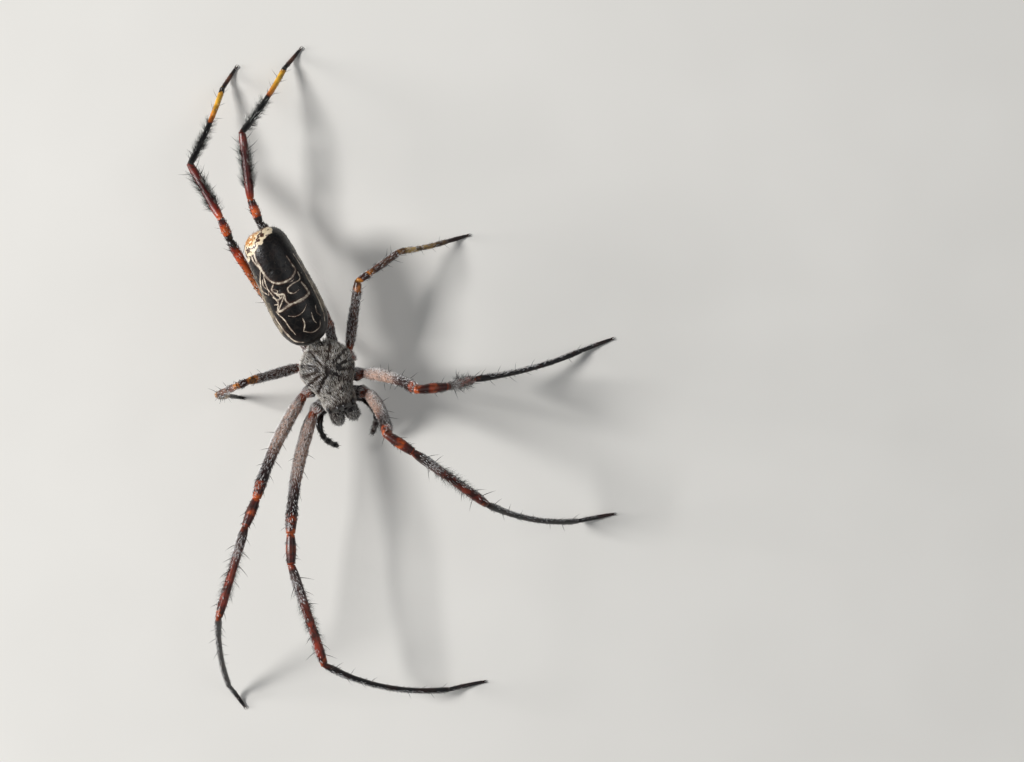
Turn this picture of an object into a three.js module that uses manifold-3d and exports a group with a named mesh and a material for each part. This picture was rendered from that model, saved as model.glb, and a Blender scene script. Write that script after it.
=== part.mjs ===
// A female golden silk orb weaver at life size, a still model standing on its eight feet.
// Lengths are millimetres and angles degrees. +Z is up, the floor is z = 0, and the head looks towards -Y.
// Headings are measured from +X towards +Y, seen from above, and a positive pitch rises.

import * as THREE from 'three';
import { mergeVertices } from 'three/addons/utils/BufferGeometryUtils.js';
import Module from 'manifold-3d';

const wasm = await Module();
wasm.setup();

// Driving sizes of the body
const CARAPACE_LENGTH = 5.8;
const CARAPACE_WIDTH = 4.4;
const CARAPACE_BASE = 5.5;
const CARAPACE_RISE = 1.7;
const HEAD_WIDTH = 2.7;
const FOVEA_PLACE = 0.58;
const FOVEA_DEPTH = 0.26;
const HORN_HEIGHT = 0.34;
const STERNUM_LENGTH = 4.1;
const STERNUM_FRONT = -1.85;
const STERNUM_WIDTH = 1.9;
const STERNUM_BOTTOM = 3.9;
const ABDOMEN_LENGTH = 10.2;
const ABDOMEN_WIDTH = 4.6;
const ABDOMEN_HEIGHT = 3.9;
const ABDOMEN_FRONT = new THREE.Vector3(-0.3, 3.0, 6.8);
const ABDOMEN_HEADING = 96;
const ABDOMEN_PITCH = 8;
const EYE_RADIUS = 0.16;

// The gap between neighbouring pieces, the height of the hips, and how high a foot's centre line ends
const GAP = 0.3;
const HIP_HEIGHT = 4.75;
const FOOT_CENTRE = 0.1;

// Lengths and thicknesses of a leg's pieces, from the hip out, for the first to the fourth pair
const PIECES = ['coxa', 'femur', 'patella', 'tibia', 'metatarsus', 'tarsus'];
const LENGTHS = {
  1: [1.5, 10.6, 2.5, 8.7, 12.0, 2.9],
  2: [1.5, 9.8, 2.5, 7.7, 10.2, 2.6],
  3: [1.3, 5.7, 1.3, 3.4, 4.9, 1.8],
  4: [2.5, 9.7, 2.1, 5.5, 7.8, 2.1],
};
const THICKNESSES = {
  1: [0.86, 0.98, 0.84, 0.74, 0.52, 0.5],
  2: [0.86, 0.96, 0.82, 0.72, 0.52, 0.5],
  3: [0.8, 0.78, 0.66, 0.6, 0.5, 0.5],
  4: [0.86, 0.8, 0.74, 0.72, 0.54, 0.5],
};

// Where each left coxa grows from the sternum, and the stance: heading and pitch of each piece.
// The metatarsus takes the pitch that brings the foot to the floor.
const ROOTS = { 1: [1.08, -1.55], 2: [1.15, -0.42], 3: [1.16, 0.72], 4: [0.95, 1.9] };
const STANCE = {
  left: {
    1: [[-32, -2], [-81, 69], [-54, 5], [-56, -34], [-32], [-9, -12]],
    2: [[-12, -2], [-36, 61], [-14, -20], [-4, -74], [-5], [1, -11]],
    3: [[40, -2], [62, 11], [15, -10], [17, -32], [-7], [-3, -25]],
    4: [[81, -5], [105, 2], [91, 5], [77, 4], [39], [32, -25]],
  },
  right: {
    1: [[212, -2], [-120, 20], [-109, 0], [-92, -9], [-33], [-8, -15]],
    2: [[192, -2], [-134, 21.5], [-131, 8], [-126, 10], [-106], [-76, -38]],
    3: [[140, -2], [176, 44], [183, 30], [183, -58], [-25], [-30, -55]],
    4: [[99, -25], [106, 15], [93, 15], [100, -22], [49], [39, -25]],
  },
};

// How far a piece bows to the right of its own heading, first to fourth pair, and how far a femur arches up
const BOWS = {
  femur: { left: [-0.3, -0.3, 0, 0.2], right: [0.4, 0.35, 0, -0.35] },
  metatarsus: { left: [0.55, 0.35, 0.1, 0.15], right: [0.8, 0.3, 0.1, 0.15] },
};
const FEMUR_ARCH = [0.35, 0.35, 0.15, 0.1];

// Along a piece: the factor at its two ends, at the shoulder behind each end, and between the shoulders
const FORMS = {
  coxa: { ends: [0.84, 0.84], shoulders: [1.0, 1.02], between: [[0.4, 1.08], [0.72, 0.84]] },
  femur: { ends: [0.8, 0.8], shoulders: [0.98, 0.96], between: [[0.2, 1.08], [0.45, 1.04], [0.75, 0.88]] },
  patella: { ends: [0.82, 0.82], shoulders: [1.0, 0.98], between: [[0.5, 1.08]] },
  tibia: { ends: [0.84, 0.86], shoulders: [1.04, 1.0], between: [[0.25, 1.04], [0.6, 0.96]] },
  metatarsus: {
    ends: [1.06, 0.94],
    shoulders: [1.24, 1.0],
    between: [[0.15, 1.06], [0.4, 0.98], [0.6, 0.98], [0.8, 0.98]],
  },
  tarsus: { ends: [0.94, 0.64], shoulders: [1.0, 0.82], between: [[0.3, 1.0], [0.6, 0.94]] },
};
const LEG_SIDES = 8;

// Brushes of bristle locks by piece and pair. Rows are degrees round the leg from its left side, roots the
// shares of the piece's length between which they grow, and count the number of locks in each row.
const BRUSHES = {
  tibia: {
    1: { rows: [12, 168], roots: [0.32, 0.88], count: 5, long: 0.6, wide: 0.54 },
    2: { rows: [12, 168], roots: [0.32, 0.86], count: 5, long: 0.6, wide: 0.54 },
    4: { rows: [-40, 2, 44, 136, 178, 220], roots: [0.05, 0.79], count: 6, long: 0.98, wide: 0.66 },
  },
  metatarsus: {
    4: { rows: [-30, 20, 160, 210], roots: [0.05, 0.4], count: 4, long: 0.64, wide: 0.52 },
  },
};
const LOCK_THICKNESS = 0.4;
const LOCK_LEAN = 48;
const LOCK_TIP_LEAN = 20;
const LOCK_SWING = 8;
const LOCK_BELLY = 0.94;
const LOCK_TIP = 0.2;

// Spines by piece: share of the length and degrees round the leg, with how far each may stray from them
const SPINES = {
  femur: [[0.42, 150], [0.72, 30]],
  tibia: [[0.2, 150], [0.55, 70]],
  metatarsus: [[0.2, 30], [0.45, 150], [0.7, 30]],
};
const SPINE_STRAY = [0.02, 8];
const SPINE_LENGTHS = { femur: 0.74, tibia: 0.76, metatarsus: 0.6 };
const SPINE_WIDTHS = { femur: 0.42, tibia: 0.42, metatarsus: 0.34 };
const SPINE_BELLY = 0.72;
const SPINE_TIP = 0.12;
const SPINE_LEAN = 55;
const SPINE_TIP_LEAN = 38;

// Sides of a lock or spine, and where in the leg it starts, as a share of the leg's half thickness
const OUTGROWTH_SIDES = 3;
const ROOT_PLACE = 0.35;

const CLAW_LENGTH = 0.42;
const CLAW_WIDTH = 0.2;
const CLAW_SPREAD = 0.12;

// Least size of a detail that the joins keep, and the floor that the feet are cut flat on
const FINE = 0.02;
const FLOOR = { width: 120, depth: 4 };

const COLOURS = {
  coxa: '#3b2b26',
  femur: '#9c746c',
  patella: '#8c3a1e',
  tibia: '#742820',
  metatarsus: '#2c2624',
  tarsus: '#241c1a',
  carapace: '#3a2f28',
  sternum: '#2b2420',
  mouthparts: '#2a211e',
  abdomen: '#cbbda0',
  spinnerets: '#3a2a22',
  chelicera: '#17120f',
  palp: '#141110',
};

THREE.MathUtils.seededRandom(11);
const random = () => THREE.MathUtils.seededRandom();
const radians = (degrees) => THREE.MathUtils.degToRad(degrees);

function direction(heading, pitch) {
  const level = Math.cos(radians(pitch));
  return new THREE.Vector3(
    level * Math.cos(radians(heading)),
    level * Math.sin(radians(heading)),
    Math.sin(radians(pitch)),
  );
}

// Closed solids from rings of points, and their joins

function loft(rings) {
  const sides = rings[0].length;
  const points = rings.flat();
  const faces = [];
  for (let i = 0; i < rings.length - 1; i += 1) {
    for (let j = 0; j < sides; j += 1) {
      const a = i * sides + j;
      const b = i * sides + ((j + 1) % sides);
      faces.push(a, b, b + sides, a, b + sides, a + sides);
    }
  }
  const centre = (ring) => ring.reduce((sum, p) => sum.add(p), new THREE.Vector3()).divideScalar(sides);
  const first = points.push(centre(rings[0])) - 1;
  const last = points.push(centre(rings.at(-1))) - 1;
  const end = (rings.length - 1) * sides;
  for (let j = 0; j < sides; j += 1) {
    const next = (j + 1) % sides;
    faces.push(first, next, j);
    faces.push(last, end + j, end + next);
  }
  const geometry = new THREE.BufferGeometry().setFromPoints(points);
  geometry.setIndex(faces);
  return geometry;
}

function solidOf(geometry) {
  const bare = geometry.clone();
  bare.deleteAttribute('normal');
  bare.deleteAttribute('uv');
  const merged = mergeVertices(bare);
  return new wasm.Manifold(new wasm.Mesh({
    numProp: 3,
    vertProperties: new Float32Array(merged.attributes.position.array),
    triVerts: new Uint32Array(merged.index.array),
  }));
}

// The largest closed surface of the first shape with the others joined to it, less what is cut away
function fused(shapes, cuts = []) {
  let whole = solidOf(shapes[0]);
  for (const shape of shapes.slice(1)) {
    whole = whole.add(solidOf(shape));
  }
  for (const cut of cuts) {
    whole = whole.subtract(solidOf(cut));
  }
  const largest = whole.decompose().reduce((a, b) => (a.volume() > b.volume() ? a : b));
  const mesh = largest.simplify(FINE).getMesh();
  const geometry = new THREE.BufferGeometry();
  geometry.setAttribute('position', new THREE.BufferAttribute(new Float32Array(mesh.vertProperties), 3));
  geometry.setIndex([...mesh.triVerts]);
  return geometry;
}

// A ring round an axis point: x and z are the half widths to the side and upwards
function ring(centre, along, side, halfWidth, halfHeight, sides, shape = 1) {
  const across = side.clone().addScaledVector(along, -side.dot(along)).normalize();
  const up = along.clone().cross(across);
  return Array.from({ length: sides }, (_, i) => {
    const angle = ((i + 0.5) / sides) * Math.PI * 2;
    const c = Math.sign(Math.cos(angle)) * Math.abs(Math.cos(angle)) ** shape;
    const s = Math.sign(Math.sin(angle)) * Math.abs(Math.sin(angle)) ** shape;
    return centre.clone().addScaledVector(across, c * halfWidth).addScaledVector(up, s * halfHeight);
  });
}

// Slides a ring's points along the axis onto the plane that two neighbouring pieces share, less its gap
function mitre(points, joint, along, normal, offset) {
  for (const point of points) {
    const away = offset - point.clone().sub(joint).dot(normal);
    point.addScaledVector(along, away / along.dot(normal));
  }
  return points;
}

function sphere(centre, radius) {
  return new THREE.IcosahedronGeometry(radius, 1).translate(centre.x, centre.y, centre.z);
}

// Legs

function legJoints(side, pair) {
  const mirror = side === 'left' ? 1 : -1;
  const lengths = LENGTHS[pair];
  const stance = STANCE[side][pair];
  const joints = [new THREE.Vector3(ROOTS[pair][0] * mirror, ROOTS[pair][1], HIP_HEIGHT)];
  const tarsusDrop = -Math.sin(radians(stance[5][1])) * lengths[5];
  stance.forEach(([heading, pitch], i) => {
    const start = joints[i];
    const drop = start.z - FOOT_CENTRE - tarsusDrop;
    const rise = pitch ?? -THREE.MathUtils.radToDeg(Math.asin(drop / lengths[4]));
    joints.push(start.clone().addScaledVector(direction(heading, rise), lengths[i]));
  });
  return joints;
}

function legPieces(side, pair) {
  const joints = legJoints(side, pair);
  return PIECES.map((name, i) => {
    const from = joints[i];
    const to = joints[i + 1];
    const chord = to.clone().sub(from);
    const level = Math.hypot(chord.x, chord.y);
    const left = new THREE.Vector3(-chord.y / level, chord.x / level, 0);
    const bow = new THREE.Vector3();
    if (name === 'femur') {
      bow.z = FEMUR_ARCH[pair - 1];
    }
    if (name in BOWS) {
      bow.addScaledVector(left, -BOWS[name][side][pair - 1]);
    }
    const middle = from.clone().lerp(to, 0.5).addScaledVector(bow, 2);
    if (name === 'tarsus') {
      middle.z = to.z;
    }
    const curve = new THREE.QuadraticBezierCurve3(from, middle, to);
    const at = (s) => curve.getPoint(s);
    const along = (s) => curve.getTangent(s);
    return { name, from, to, left, at, along, length: chord.length(), half: THICKNESSES[pair][i] / 2 };
  });
}

function pieceRings(piece, before, after) {
  const { ends, shoulders, between } = FORMS[piece.name];
  const shoulder = (1.2 * piece.half + GAP / 2) / piece.length;
  const stations = [
    [0, ends[0]],
    [shoulder, shoulders[0]],
    ...between.map(([s, factor]) => [shoulder + s * (1 - 2 * shoulder), factor]),
    [1 - shoulder, shoulders[1]],
    [1, ends[1]],
  ];
  const rings = stations.map(([s, factor]) => {
    const half = piece.half * factor;
    return ring(piece.at(s), piece.along(s), piece.left, half, half, LEG_SIDES);
  });
  const startNormal = piece.along(0);
  if (before) {
    startNormal.add(before.along(1)).normalize();
  }
  mitre(rings[0], piece.from, piece.along(0), startNormal, GAP / 2);
  if (after) {
    const endNormal = piece.along(1).add(after.along(0)).normalize();
    mitre(rings.at(-1), piece.to, piece.along(1), endNormal, -GAP / 2);
  }
  return rings;
}

// A tapered form that grows out of a leg and bends towards the leg's tip. Leans are degrees from the leg.
function outgrowth(piece, s, angle, { long, wide, thick, leans, belly, tip }) {
  const along = piece.along(s);
  const up = along.clone().cross(piece.left).normalize();
  const side = up.clone().cross(along);
  const out = side.multiplyScalar(Math.cos(radians(angle))).addScaledVector(up, Math.sin(radians(angle)));
  const across = out.clone().cross(along);
  const steps = leans.length;
  const centre = piece.at(s).addScaledVector(out, piece.half * ROOT_PLACE);
  const whole = long + piece.half * (1 - ROOT_PLACE);
  const rings = [];
  for (let i = 0; i <= steps; i += 1) {
    const lean = radians(leans[Math.min(i, steps - 1)]);
    const heading = out.clone().multiplyScalar(Math.sin(lean)).addScaledVector(along, Math.cos(lean));
    const size = [1, belly, tip][i];
    rings.push(ring(centre, heading, across, (thick / 2) * size, (wide / 2) * size, OUTGROWTH_SIDES));
    centre.addScaledVector(heading, whole / steps);
  }
  return loft(rings);
}

function brush(piece, pair) {
  const plan = BRUSHES[piece.name]?.[pair];
  if (!plan) {
    return [];
  }
  return plan.rows.flatMap((row, r) => Array.from({ length: plan.count }, (_, i) => {
    const place = (i + 0.25 + (r % 2) / 2) / plan.count;
    const s = plan.roots[0] + place * (plan.roots[1] - plan.roots[0]);
    const swing = LOCK_SWING * (random() - 0.5);
    const grown = 0.88 + 0.24 * random();
    return outgrowth(piece, s, row + swing, {
      long: plan.long * grown,
      wide: plan.wide,
      thick: LOCK_THICKNESS,
      leans: [LOCK_LEAN, LOCK_TIP_LEAN + swing],
      belly: LOCK_BELLY,
      tip: LOCK_TIP,
    });
  }));
}

// On the last pair the spines stand clear of the dense brushes
function spines(piece, pair) {
  const brushEnd = BRUSHES[piece.name]?.[pair]?.roots[1] ?? 0;
  const clear = ([s]) => pair !== 4 || s > brushEnd + 0.1;
  const roots = SPINES[piece.name] ?? [];
  return roots.filter(clear).map(([s, angle]) => outgrowth(
    piece,
    s + SPINE_STRAY[0] * 2 * (random() - 0.5),
    angle + SPINE_STRAY[1] * 2 * (random() - 0.5),
    {
      long: SPINE_LENGTHS[piece.name],
      wide: SPINE_WIDTHS[piece.name],
      thick: SPINE_WIDTHS[piece.name],
      leans: [SPINE_LEAN, SPINE_TIP_LEAN],
      belly: SPINE_BELLY,
      tip: SPINE_TIP,
    },
  ));
}

// The pair of hooks at the end of a foot
function claws(piece) {
  const along = piece.along(1);
  const ahead = (share, apart) => piece.to.clone()
    .addScaledVector(along, CLAW_LENGTH * share)
    .addScaledVector(piece.left, apart);
  return [1, -1].map((way) => {
    const root = piece.at(0.96).addScaledVector(piece.left, (CLAW_SPREAD / 2) * way);
    const knee = ahead(0.4, CLAW_SPREAD * way);
    const point = ahead(1, (CLAW_SPREAD + 0.01) * way);
    root.z += 0.06;
    knee.z += 0.1;
    point.z -= 0.02;
    return alongPath([root, knee, point], [CLAW_WIDTH / 2, CLAW_WIDTH * 0.38, CLAW_WIDTH * 0.12], 3);
  });
}

function floorBlock() {
  return new THREE.BoxGeometry(FLOOR.width, FLOOR.width, FLOOR.depth).translate(0, 0, -FLOOR.depth / 2);
}

function legShape(pieces, i, pair) {
  const piece = pieces[i];
  const shape = loft(pieceRings(piece, pieces[i - 1], pieces[i + 1]));
  if (i === PIECES.length - 1) {
    return fused([shape, ...claws(piece)], [floorBlock()]);
  }
  return fused([shape, ...brush(piece, pair), ...spines(piece, pair)]);
}

// Body

function carapaceShape() {
  const sides = 24;
  const front = -CARAPACE_LENGTH / 2;
  const head = HEAD_WIDTH / 2;
  const chest = CARAPACE_WIDTH / 2;
  // Stations from the front: share of the length, half width, and rise as a share of the full rise
  const stations = [
    [0.0, head * 0.72, 0.62],
    [0.03, head * 0.9, 0.84],
    [0.1, head, 1.0],
    [0.2, head * 1.03, 1.04],
    [0.29, head * 1.12, 0.98],
    [0.37, chest * 0.78, 0.84],
    [0.46, chest * 0.92, 0.82],
    [0.56, chest, 0.88],
    [0.67, chest, 0.88],
    [0.78, chest * 0.92, 0.8],
    [0.88, chest * 0.72, 0.64],
    [0.95, chest * 0.5, 0.46],
    [1.0, chest * 0.3, 0.3],
  ];
  const rings = stations.map(([s, halfWidth, rise]) => {
    const y = front + s * CARAPACE_LENGTH;
    const pit = FOVEA_DEPTH * Math.exp(-(((s - FOVEA_PLACE) / 0.09) ** 2));
    return Array.from({ length: sides }, (_, i) => {
      const angle = ((i + 0.5) / sides) * Math.PI * 2;
      const middle = Math.max(0, Math.sin(angle)) ** 14;
      const height = Math.sin(angle) > 0
        ? Math.sin(angle) ** 0.85 * rise * CARAPACE_RISE - pit * middle
        : Math.sin(angle) * 0.12;
      return new THREE.Vector3(-Math.cos(angle) * halfWidth, y, CARAPACE_BASE + 0.15 + height);
    });
  });
  return loft(rings);
}

function eyeShapes() {
  const top = CARAPACE_BASE + CARAPACE_RISE;
  const front = -CARAPACE_LENGTH / 2;
  // Half of the eyes: the front and rear middle pairs, and the two on each side
  const places = [
    [0.26, front + 0.02, top - 0.62],
    [0.28, front + 0.24, top - 0.12],
    [0.98, front + 0.16, top - 0.72],
    [1.06, front + 0.4, top - 0.5],
  ];
  const pair = ([x, y, z]) => [new THREE.Vector3(x, y, z), new THREE.Vector3(-x, y, z)];
  return places.flatMap(pair).map((centre) => sphere(centre, EYE_RADIUS));
}

// The two small horns on the rear of the head
function hornShapes() {
  const top = CARAPACE_BASE + CARAPACE_RISE;
  return [1, -1].map((way) => {
    const root = new THREE.Vector3(0.5 * way, -CARAPACE_LENGTH * 0.2, top - 0.35);
    const tip = root.clone().add(new THREE.Vector3(0.05 * way, -0.04, HORN_HEIGHT + 0.3));
    return alongPath([root, tip], [0.26, 0.22, 0.1], 8);
  });
}

function sternumShape() {
  const sides = 16;
  const half = STERNUM_WIDTH / 2;
  const top = CARAPACE_BASE - GAP;
  // Stations from the front: share of the length, half width, and depth below the top
  const stations = [
    [0.0, half * 0.62, 0.55],
    [0.06, half * 0.82, 0.85],
    [0.25, half * 0.95, 1.0],
    [0.5, half, 1.0],
    [0.72, half * 0.82, 0.96],
    [0.9, half * 0.4, 0.85],
    [1.0, half * 0.2, 0.6],
  ];
  const depth = top - STERNUM_BOTTOM;
  const rearward = new THREE.Vector3(0, 1, 0);
  const right = new THREE.Vector3(-1, 0, 0);
  return loft(stations.map(([s, halfWidth, share]) => {
    const halfDepth = (depth * share) / 2;
    const centre = new THREE.Vector3(0, STERNUM_FRONT + s * STERNUM_LENGTH, top - halfDepth);
    return ring(centre, rearward, right, halfWidth, halfDepth, sides, 0.6);
  }));
}

function alongPath(points, halves, sides, flat = 1) {
  const curve = new THREE.CatmullRomCurve3(points);
  return loft(halves.map((half, i) => {
    const u = i / (halves.length - 1);
    const along = curve.getTangent(u);
    const side = Math.abs(along.x) > 0.9 ? new THREE.Vector3(0, 1, 0) : new THREE.Vector3(-1, 0, 0);
    return ring(curve.getPoint(u), along, side, half * flat, half, sides);
  }));
}

function chelicera(way) {
  const place = (x, y, z) => new THREE.Vector3(x * way, y, z);
  const base = alongPath(
    [place(0.68, -3.0, 5.0), place(0.74, -3.45, 4.4), place(0.7, -3.6, 3.3), place(0.62, -3.5, 2.6)],
    [0.36, 0.52, 0.56, 0.53, 0.46, 0.3],
    12,
  );
  const fang = alongPath(
    [place(0.64, -3.55, 2.8), place(0.58, -3.35, 2.4), place(0.36, -3.0, 2.3)],
    [0.2, 0.17, 0.12, 0.05],
    6,
  );
  return fused([base, fang]);
}

function palp(way, reach) {
  const points = reach.map(([x, y, z]) => new THREE.Vector3(x * way, y, z));
  const halves = [0.2, 0.27, 0.24, 0.27, 0.25, 0.28, 0.24, 0.27, 0.26, 0.22, 0.12];
  return fused([alongPath(points, halves, 8)]);
}

function mouthpartsShape() {
  const lip = alongPath(
    [new THREE.Vector3(0, -2.15, 4.3), new THREE.Vector3(0, -2.4, 4.2), new THREE.Vector3(0, -2.6, 4.05)],
    [0.28, 0.34, 0.28],
    10,
  );
  const lobes = [1, -1].map((way) => alongPath(
    [
      new THREE.Vector3(0.85 * way, -2.4, 4.15),
      new THREE.Vector3(0.5 * way, -2.45, 4.1),
      new THREE.Vector3(0.12 * way, -2.5, 4.05),
    ],
    [0.22, 0.28, 0.26],
    8,
  ));
  return fused([lip, ...lobes]);
}

function abdomenFrame() {
  const along = direction(ABDOMEN_HEADING, ABDOMEN_PITCH);
  const side = direction(ABDOMEN_HEADING + 90, 0);
  const at = (s, across, up) => ABDOMEN_FRONT.clone()
    .addScaledVector(along, s * ABDOMEN_LENGTH)
    .addScaledVector(side, -across)
    .addScaledVector(along.clone().cross(side), up);
  return { along, side, at };
}

// Half width of the abdomen as a share of its greatest, from the front to the blunt rear
function abdomenSwell(s) {
  const front = (1 - Math.abs(2 * Math.min(s, 0.5) - 1) ** 3.2) ** 0.42;
  const rear = (1 - Math.abs(2 * Math.max(s, 0.5) - 1) ** 8) ** 0.38;
  return front * rear * (1.07 - 0.27 * s);
}

function abdomenShape() {
  const { along, side, at } = abdomenFrame();
  const stations = [0.004, 0.03, 0.07, 0.13, 0.21, 0.3, 0.4, 0.5, 0.6, 0.7, 0.79, 0.87, 0.93, 0.97, 0.996];
  return loft(stations.map((s) => {
    const swell = abdomenSwell(s);
    const lift = 0.12 * Math.sin(Math.PI * s);
    return ring(at(s, 0, lift), along, side, (swell * ABDOMEN_WIDTH) / 2, (swell * ABDOMEN_HEIGHT) / 2, 24);
  }));
}

function spinneretShapes() {
  const { along, at } = abdomenFrame();
  const below = -ABDOMEN_HEIGHT / 2 * abdomenSwell(0.86) - GAP;
  const lean = along.clone().multiplyScalar(0.35).add(new THREE.Vector3(0, 0, -1)).normalize();
  // Front, middle and rear pairs: share of the abdomen's length, distance apart, length and half width
  const pairs = [
    [0.83, 0.24, 0.5, 0.2],
    [0.862, 0.16, 0.4, 0.13],
    [0.885, 0.24, 0.5, 0.2],
  ];
  const mound = alongPath([at(0.85, 0, below), at(0.86, 0, below - 0.25)], [0.5, 0.42], 10);
  const cones = pairs.flatMap(([s, across, long, half]) => [1, -1].map((way) => {
    const root = at(s, across * way, below - 0.05);
    const tip = root.clone().addScaledVector(lean, long);
    return alongPath([root, tip], [half, half * 0.9, half * 0.5], 6);
  }));
  return [mound, ...cones];
}

function pedicelShape() {
  const y = CARAPACE_LENGTH / 2 - 0.3;
  const path = [
    new THREE.Vector3(0, y, 4.85),
    new THREE.Vector3(-0.05, y + 0.5, 4.95),
    new THREE.Vector3(-0.1, y + 0.9, 5.05),
  ];
  return alongPath(path, [0.26, 0.3, 0.26], 10);
}

// The spider

const spider = new THREE.Group();

function add(name, geometry, colour, roughness = 0.6) {
  const flat = geometry.index ? geometry.toNonIndexed() : geometry;
  flat.computeVertexNormals();
  const material = new THREE.MeshStandardMaterial({ color: colour, roughness, metalness: 0 });
  const mesh = new THREE.Mesh(flat, material);
  mesh.name = name;
  spider.add(mesh);
}

add('carapace', fused([carapaceShape(), ...eyeShapes(), ...hornShapes()]), COLOURS.carapace);
add('sternum', fused([sternumShape()]), COLOURS.sternum);
add('mouthparts', mouthpartsShape(), COLOURS.mouthparts);
add('pedicel', fused([pedicelShape()]), COLOURS.sternum);
add('abdomen', fused([abdomenShape()]), COLOURS.abdomen);
add('spinnerets', fused(spinneretShapes()), COLOURS.spinnerets);
add('chelicera_left', chelicera(1), COLOURS.chelicera, 0.25);
add('chelicera_right', chelicera(-1), COLOURS.chelicera, 0.25);

const PALP_REACH = [
  [1.32, -2.4, 3.78],
  [1.8, -2.7, 3.65],
  [2.25, -3.3, 3.75],
  [2.32, -4.3, 3.6],
  [1.95, -5.1, 2.8],
  [1.45, -5.6, 2.1],
];
add('palp_left', palp(1, PALP_REACH), COLOURS.palp, 0.3);
add('palp_right', palp(-1, PALP_REACH), COLOURS.palp, 0.3);

for (const side of ['left', 'right']) {
  for (const pair of [1, 2, 3, 4]) {
    const pieces = legPieces(side, pair);
    pieces.forEach((piece, i) => {
      add(`leg_${pair}_${side}_${piece.name}`, legShape(pieces, i, pair), COLOURS[piece.name]);
    });
  }
}

// The middle of the footprint goes to the origin, with the feet on z = 0
const bounds = new THREE.Box3().setFromObject(spider);
const centre = bounds.getCenter(new THREE.Vector3());
spider.position.set(-centre.x, -centre.y, 0);

export default spider;
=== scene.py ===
"""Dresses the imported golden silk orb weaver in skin, hair, bristles and spines, and sets the stage.

Places are worked out in millimetres in the body's own frame, with the head towards -Y, and are
turned to metres in the shared frame by place().
"""

import math
from functools import partial

import bpy
import numpy as np
from mathutils import Matrix, Vector


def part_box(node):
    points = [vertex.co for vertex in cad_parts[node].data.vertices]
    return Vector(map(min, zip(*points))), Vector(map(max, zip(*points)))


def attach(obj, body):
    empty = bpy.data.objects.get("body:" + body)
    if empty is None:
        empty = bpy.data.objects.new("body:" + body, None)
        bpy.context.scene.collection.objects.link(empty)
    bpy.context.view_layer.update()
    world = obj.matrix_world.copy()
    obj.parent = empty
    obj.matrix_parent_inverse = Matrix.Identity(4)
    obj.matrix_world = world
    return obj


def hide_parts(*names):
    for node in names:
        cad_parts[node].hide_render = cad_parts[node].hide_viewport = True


bl_info = {
    "name": "Golden Silk Orb Weaver",
    "version": (1, 0, 0),
    "blender": (4, 5, 0),
    "location": "3D View > Sidebar > Orb Weaver",
    "description": "Builds the skin, coat and stage of a golden silk orb weaver on its packed solids",
    "category": "Object",
}

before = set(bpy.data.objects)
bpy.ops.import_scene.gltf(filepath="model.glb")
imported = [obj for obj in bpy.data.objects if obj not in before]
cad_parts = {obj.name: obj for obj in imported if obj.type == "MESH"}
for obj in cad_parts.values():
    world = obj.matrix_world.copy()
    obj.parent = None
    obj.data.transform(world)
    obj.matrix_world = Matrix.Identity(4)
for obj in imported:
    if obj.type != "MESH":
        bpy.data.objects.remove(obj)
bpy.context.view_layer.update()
MM = 0.001
BODY = "root"
SIDES = ("left", "right")
PAIRS = (1, 2, 3, 4)

# The body's own frame has its origin under the middle of the carapace, whose rear edge is at this y
CARAPACE_REAR = 2.9
CARAPACE_LOW, CARAPACE_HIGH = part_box("carapace")
ORIGIN = np.array([
    (CARAPACE_LOW.x + CARAPACE_HIGH.x) / 2,
    CARAPACE_HIGH.y - CARAPACE_REAR * MM,
    0.0,
])

# Leg pieces from the hip out, with the solids' lengths, thicknesses and stance
PIECES = ("coxa", "femur", "patella", "tibia", "metatarsus", "tarsus")
LENGTHS = {
    1: (1.5, 10.6, 2.5, 8.7, 12.0, 2.9),
    2: (1.5, 9.8, 2.5, 7.7, 10.2, 2.6),
    3: (1.3, 5.7, 1.3, 3.4, 4.9, 1.8),
    4: (2.5, 9.7, 2.1, 5.5, 7.8, 2.1),
}
THICKNESSES = {
    1: (0.86, 0.98, 0.84, 0.74, 0.52, 0.5),
    2: (0.86, 0.96, 0.82, 0.72, 0.52, 0.5),
    3: (0.8, 0.78, 0.66, 0.6, 0.5, 0.5),
    4: (0.86, 0.8, 0.74, 0.72, 0.54, 0.5),
}
# Where the left legs leave the body
ROOTS = {1: (1.08, -1.55), 2: (1.15, -0.42), 3: (1.16, 0.72), 4: (0.95, 1.9)}
HIP_HEIGHT = 4.75
FOOT_CENTRE = 0.1
# Heading and pitch of each piece in degrees. The pitch that is left open takes the foot to the floor.
STANCE = {
    "left": {
        1: ((-32, -2), (-81, 69), (-54, 5), (-56, -34), (-32, None), (-9, -12)),
        2: ((-12, -2), (-36, 61), (-14, -20), (-4, -74), (-5, None), (1, -11)),
        3: ((40, -2), (62, 11), (15, -10), (17, -32), (-7, None), (-3, -25)),
        4: ((81, -5), (105, 2), (91, 5), (77, 4), (39, None), (32, -25)),
    },
    "right": {
        1: ((212, -2), (-120, 20), (-109, 0), (-92, -9), (-33, None), (-8, -15)),
        2: ((192, -2), (-134, 21.5), (-131, 8), (-126, 10), (-106, None), (-76, -38)),
        3: ((140, -2), (176, 44), (183, 30), (183, -58), (-25, None), (-30, -55)),
        4: ((99, -25), (106, 15), (93, 15), (100, -22), (49, None), (39, -25)),
    },
}
# How far the middle of a piece bows out of its chord, by pair: to the side, and for the femur also up
BOWS = {
    "femur": {"left": (-0.3, -0.3, 0, 0.2), "right": (0.4, 0.35, 0, -0.35)},
    "metatarsus": {"left": (0.55, 0.35, 0.1, 0.15), "right": (0.8, 0.3, 0.1, 0.15)},
}
FEMUR_ARCH = (0.35, 0.35, 0.15, 0.1)
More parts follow.
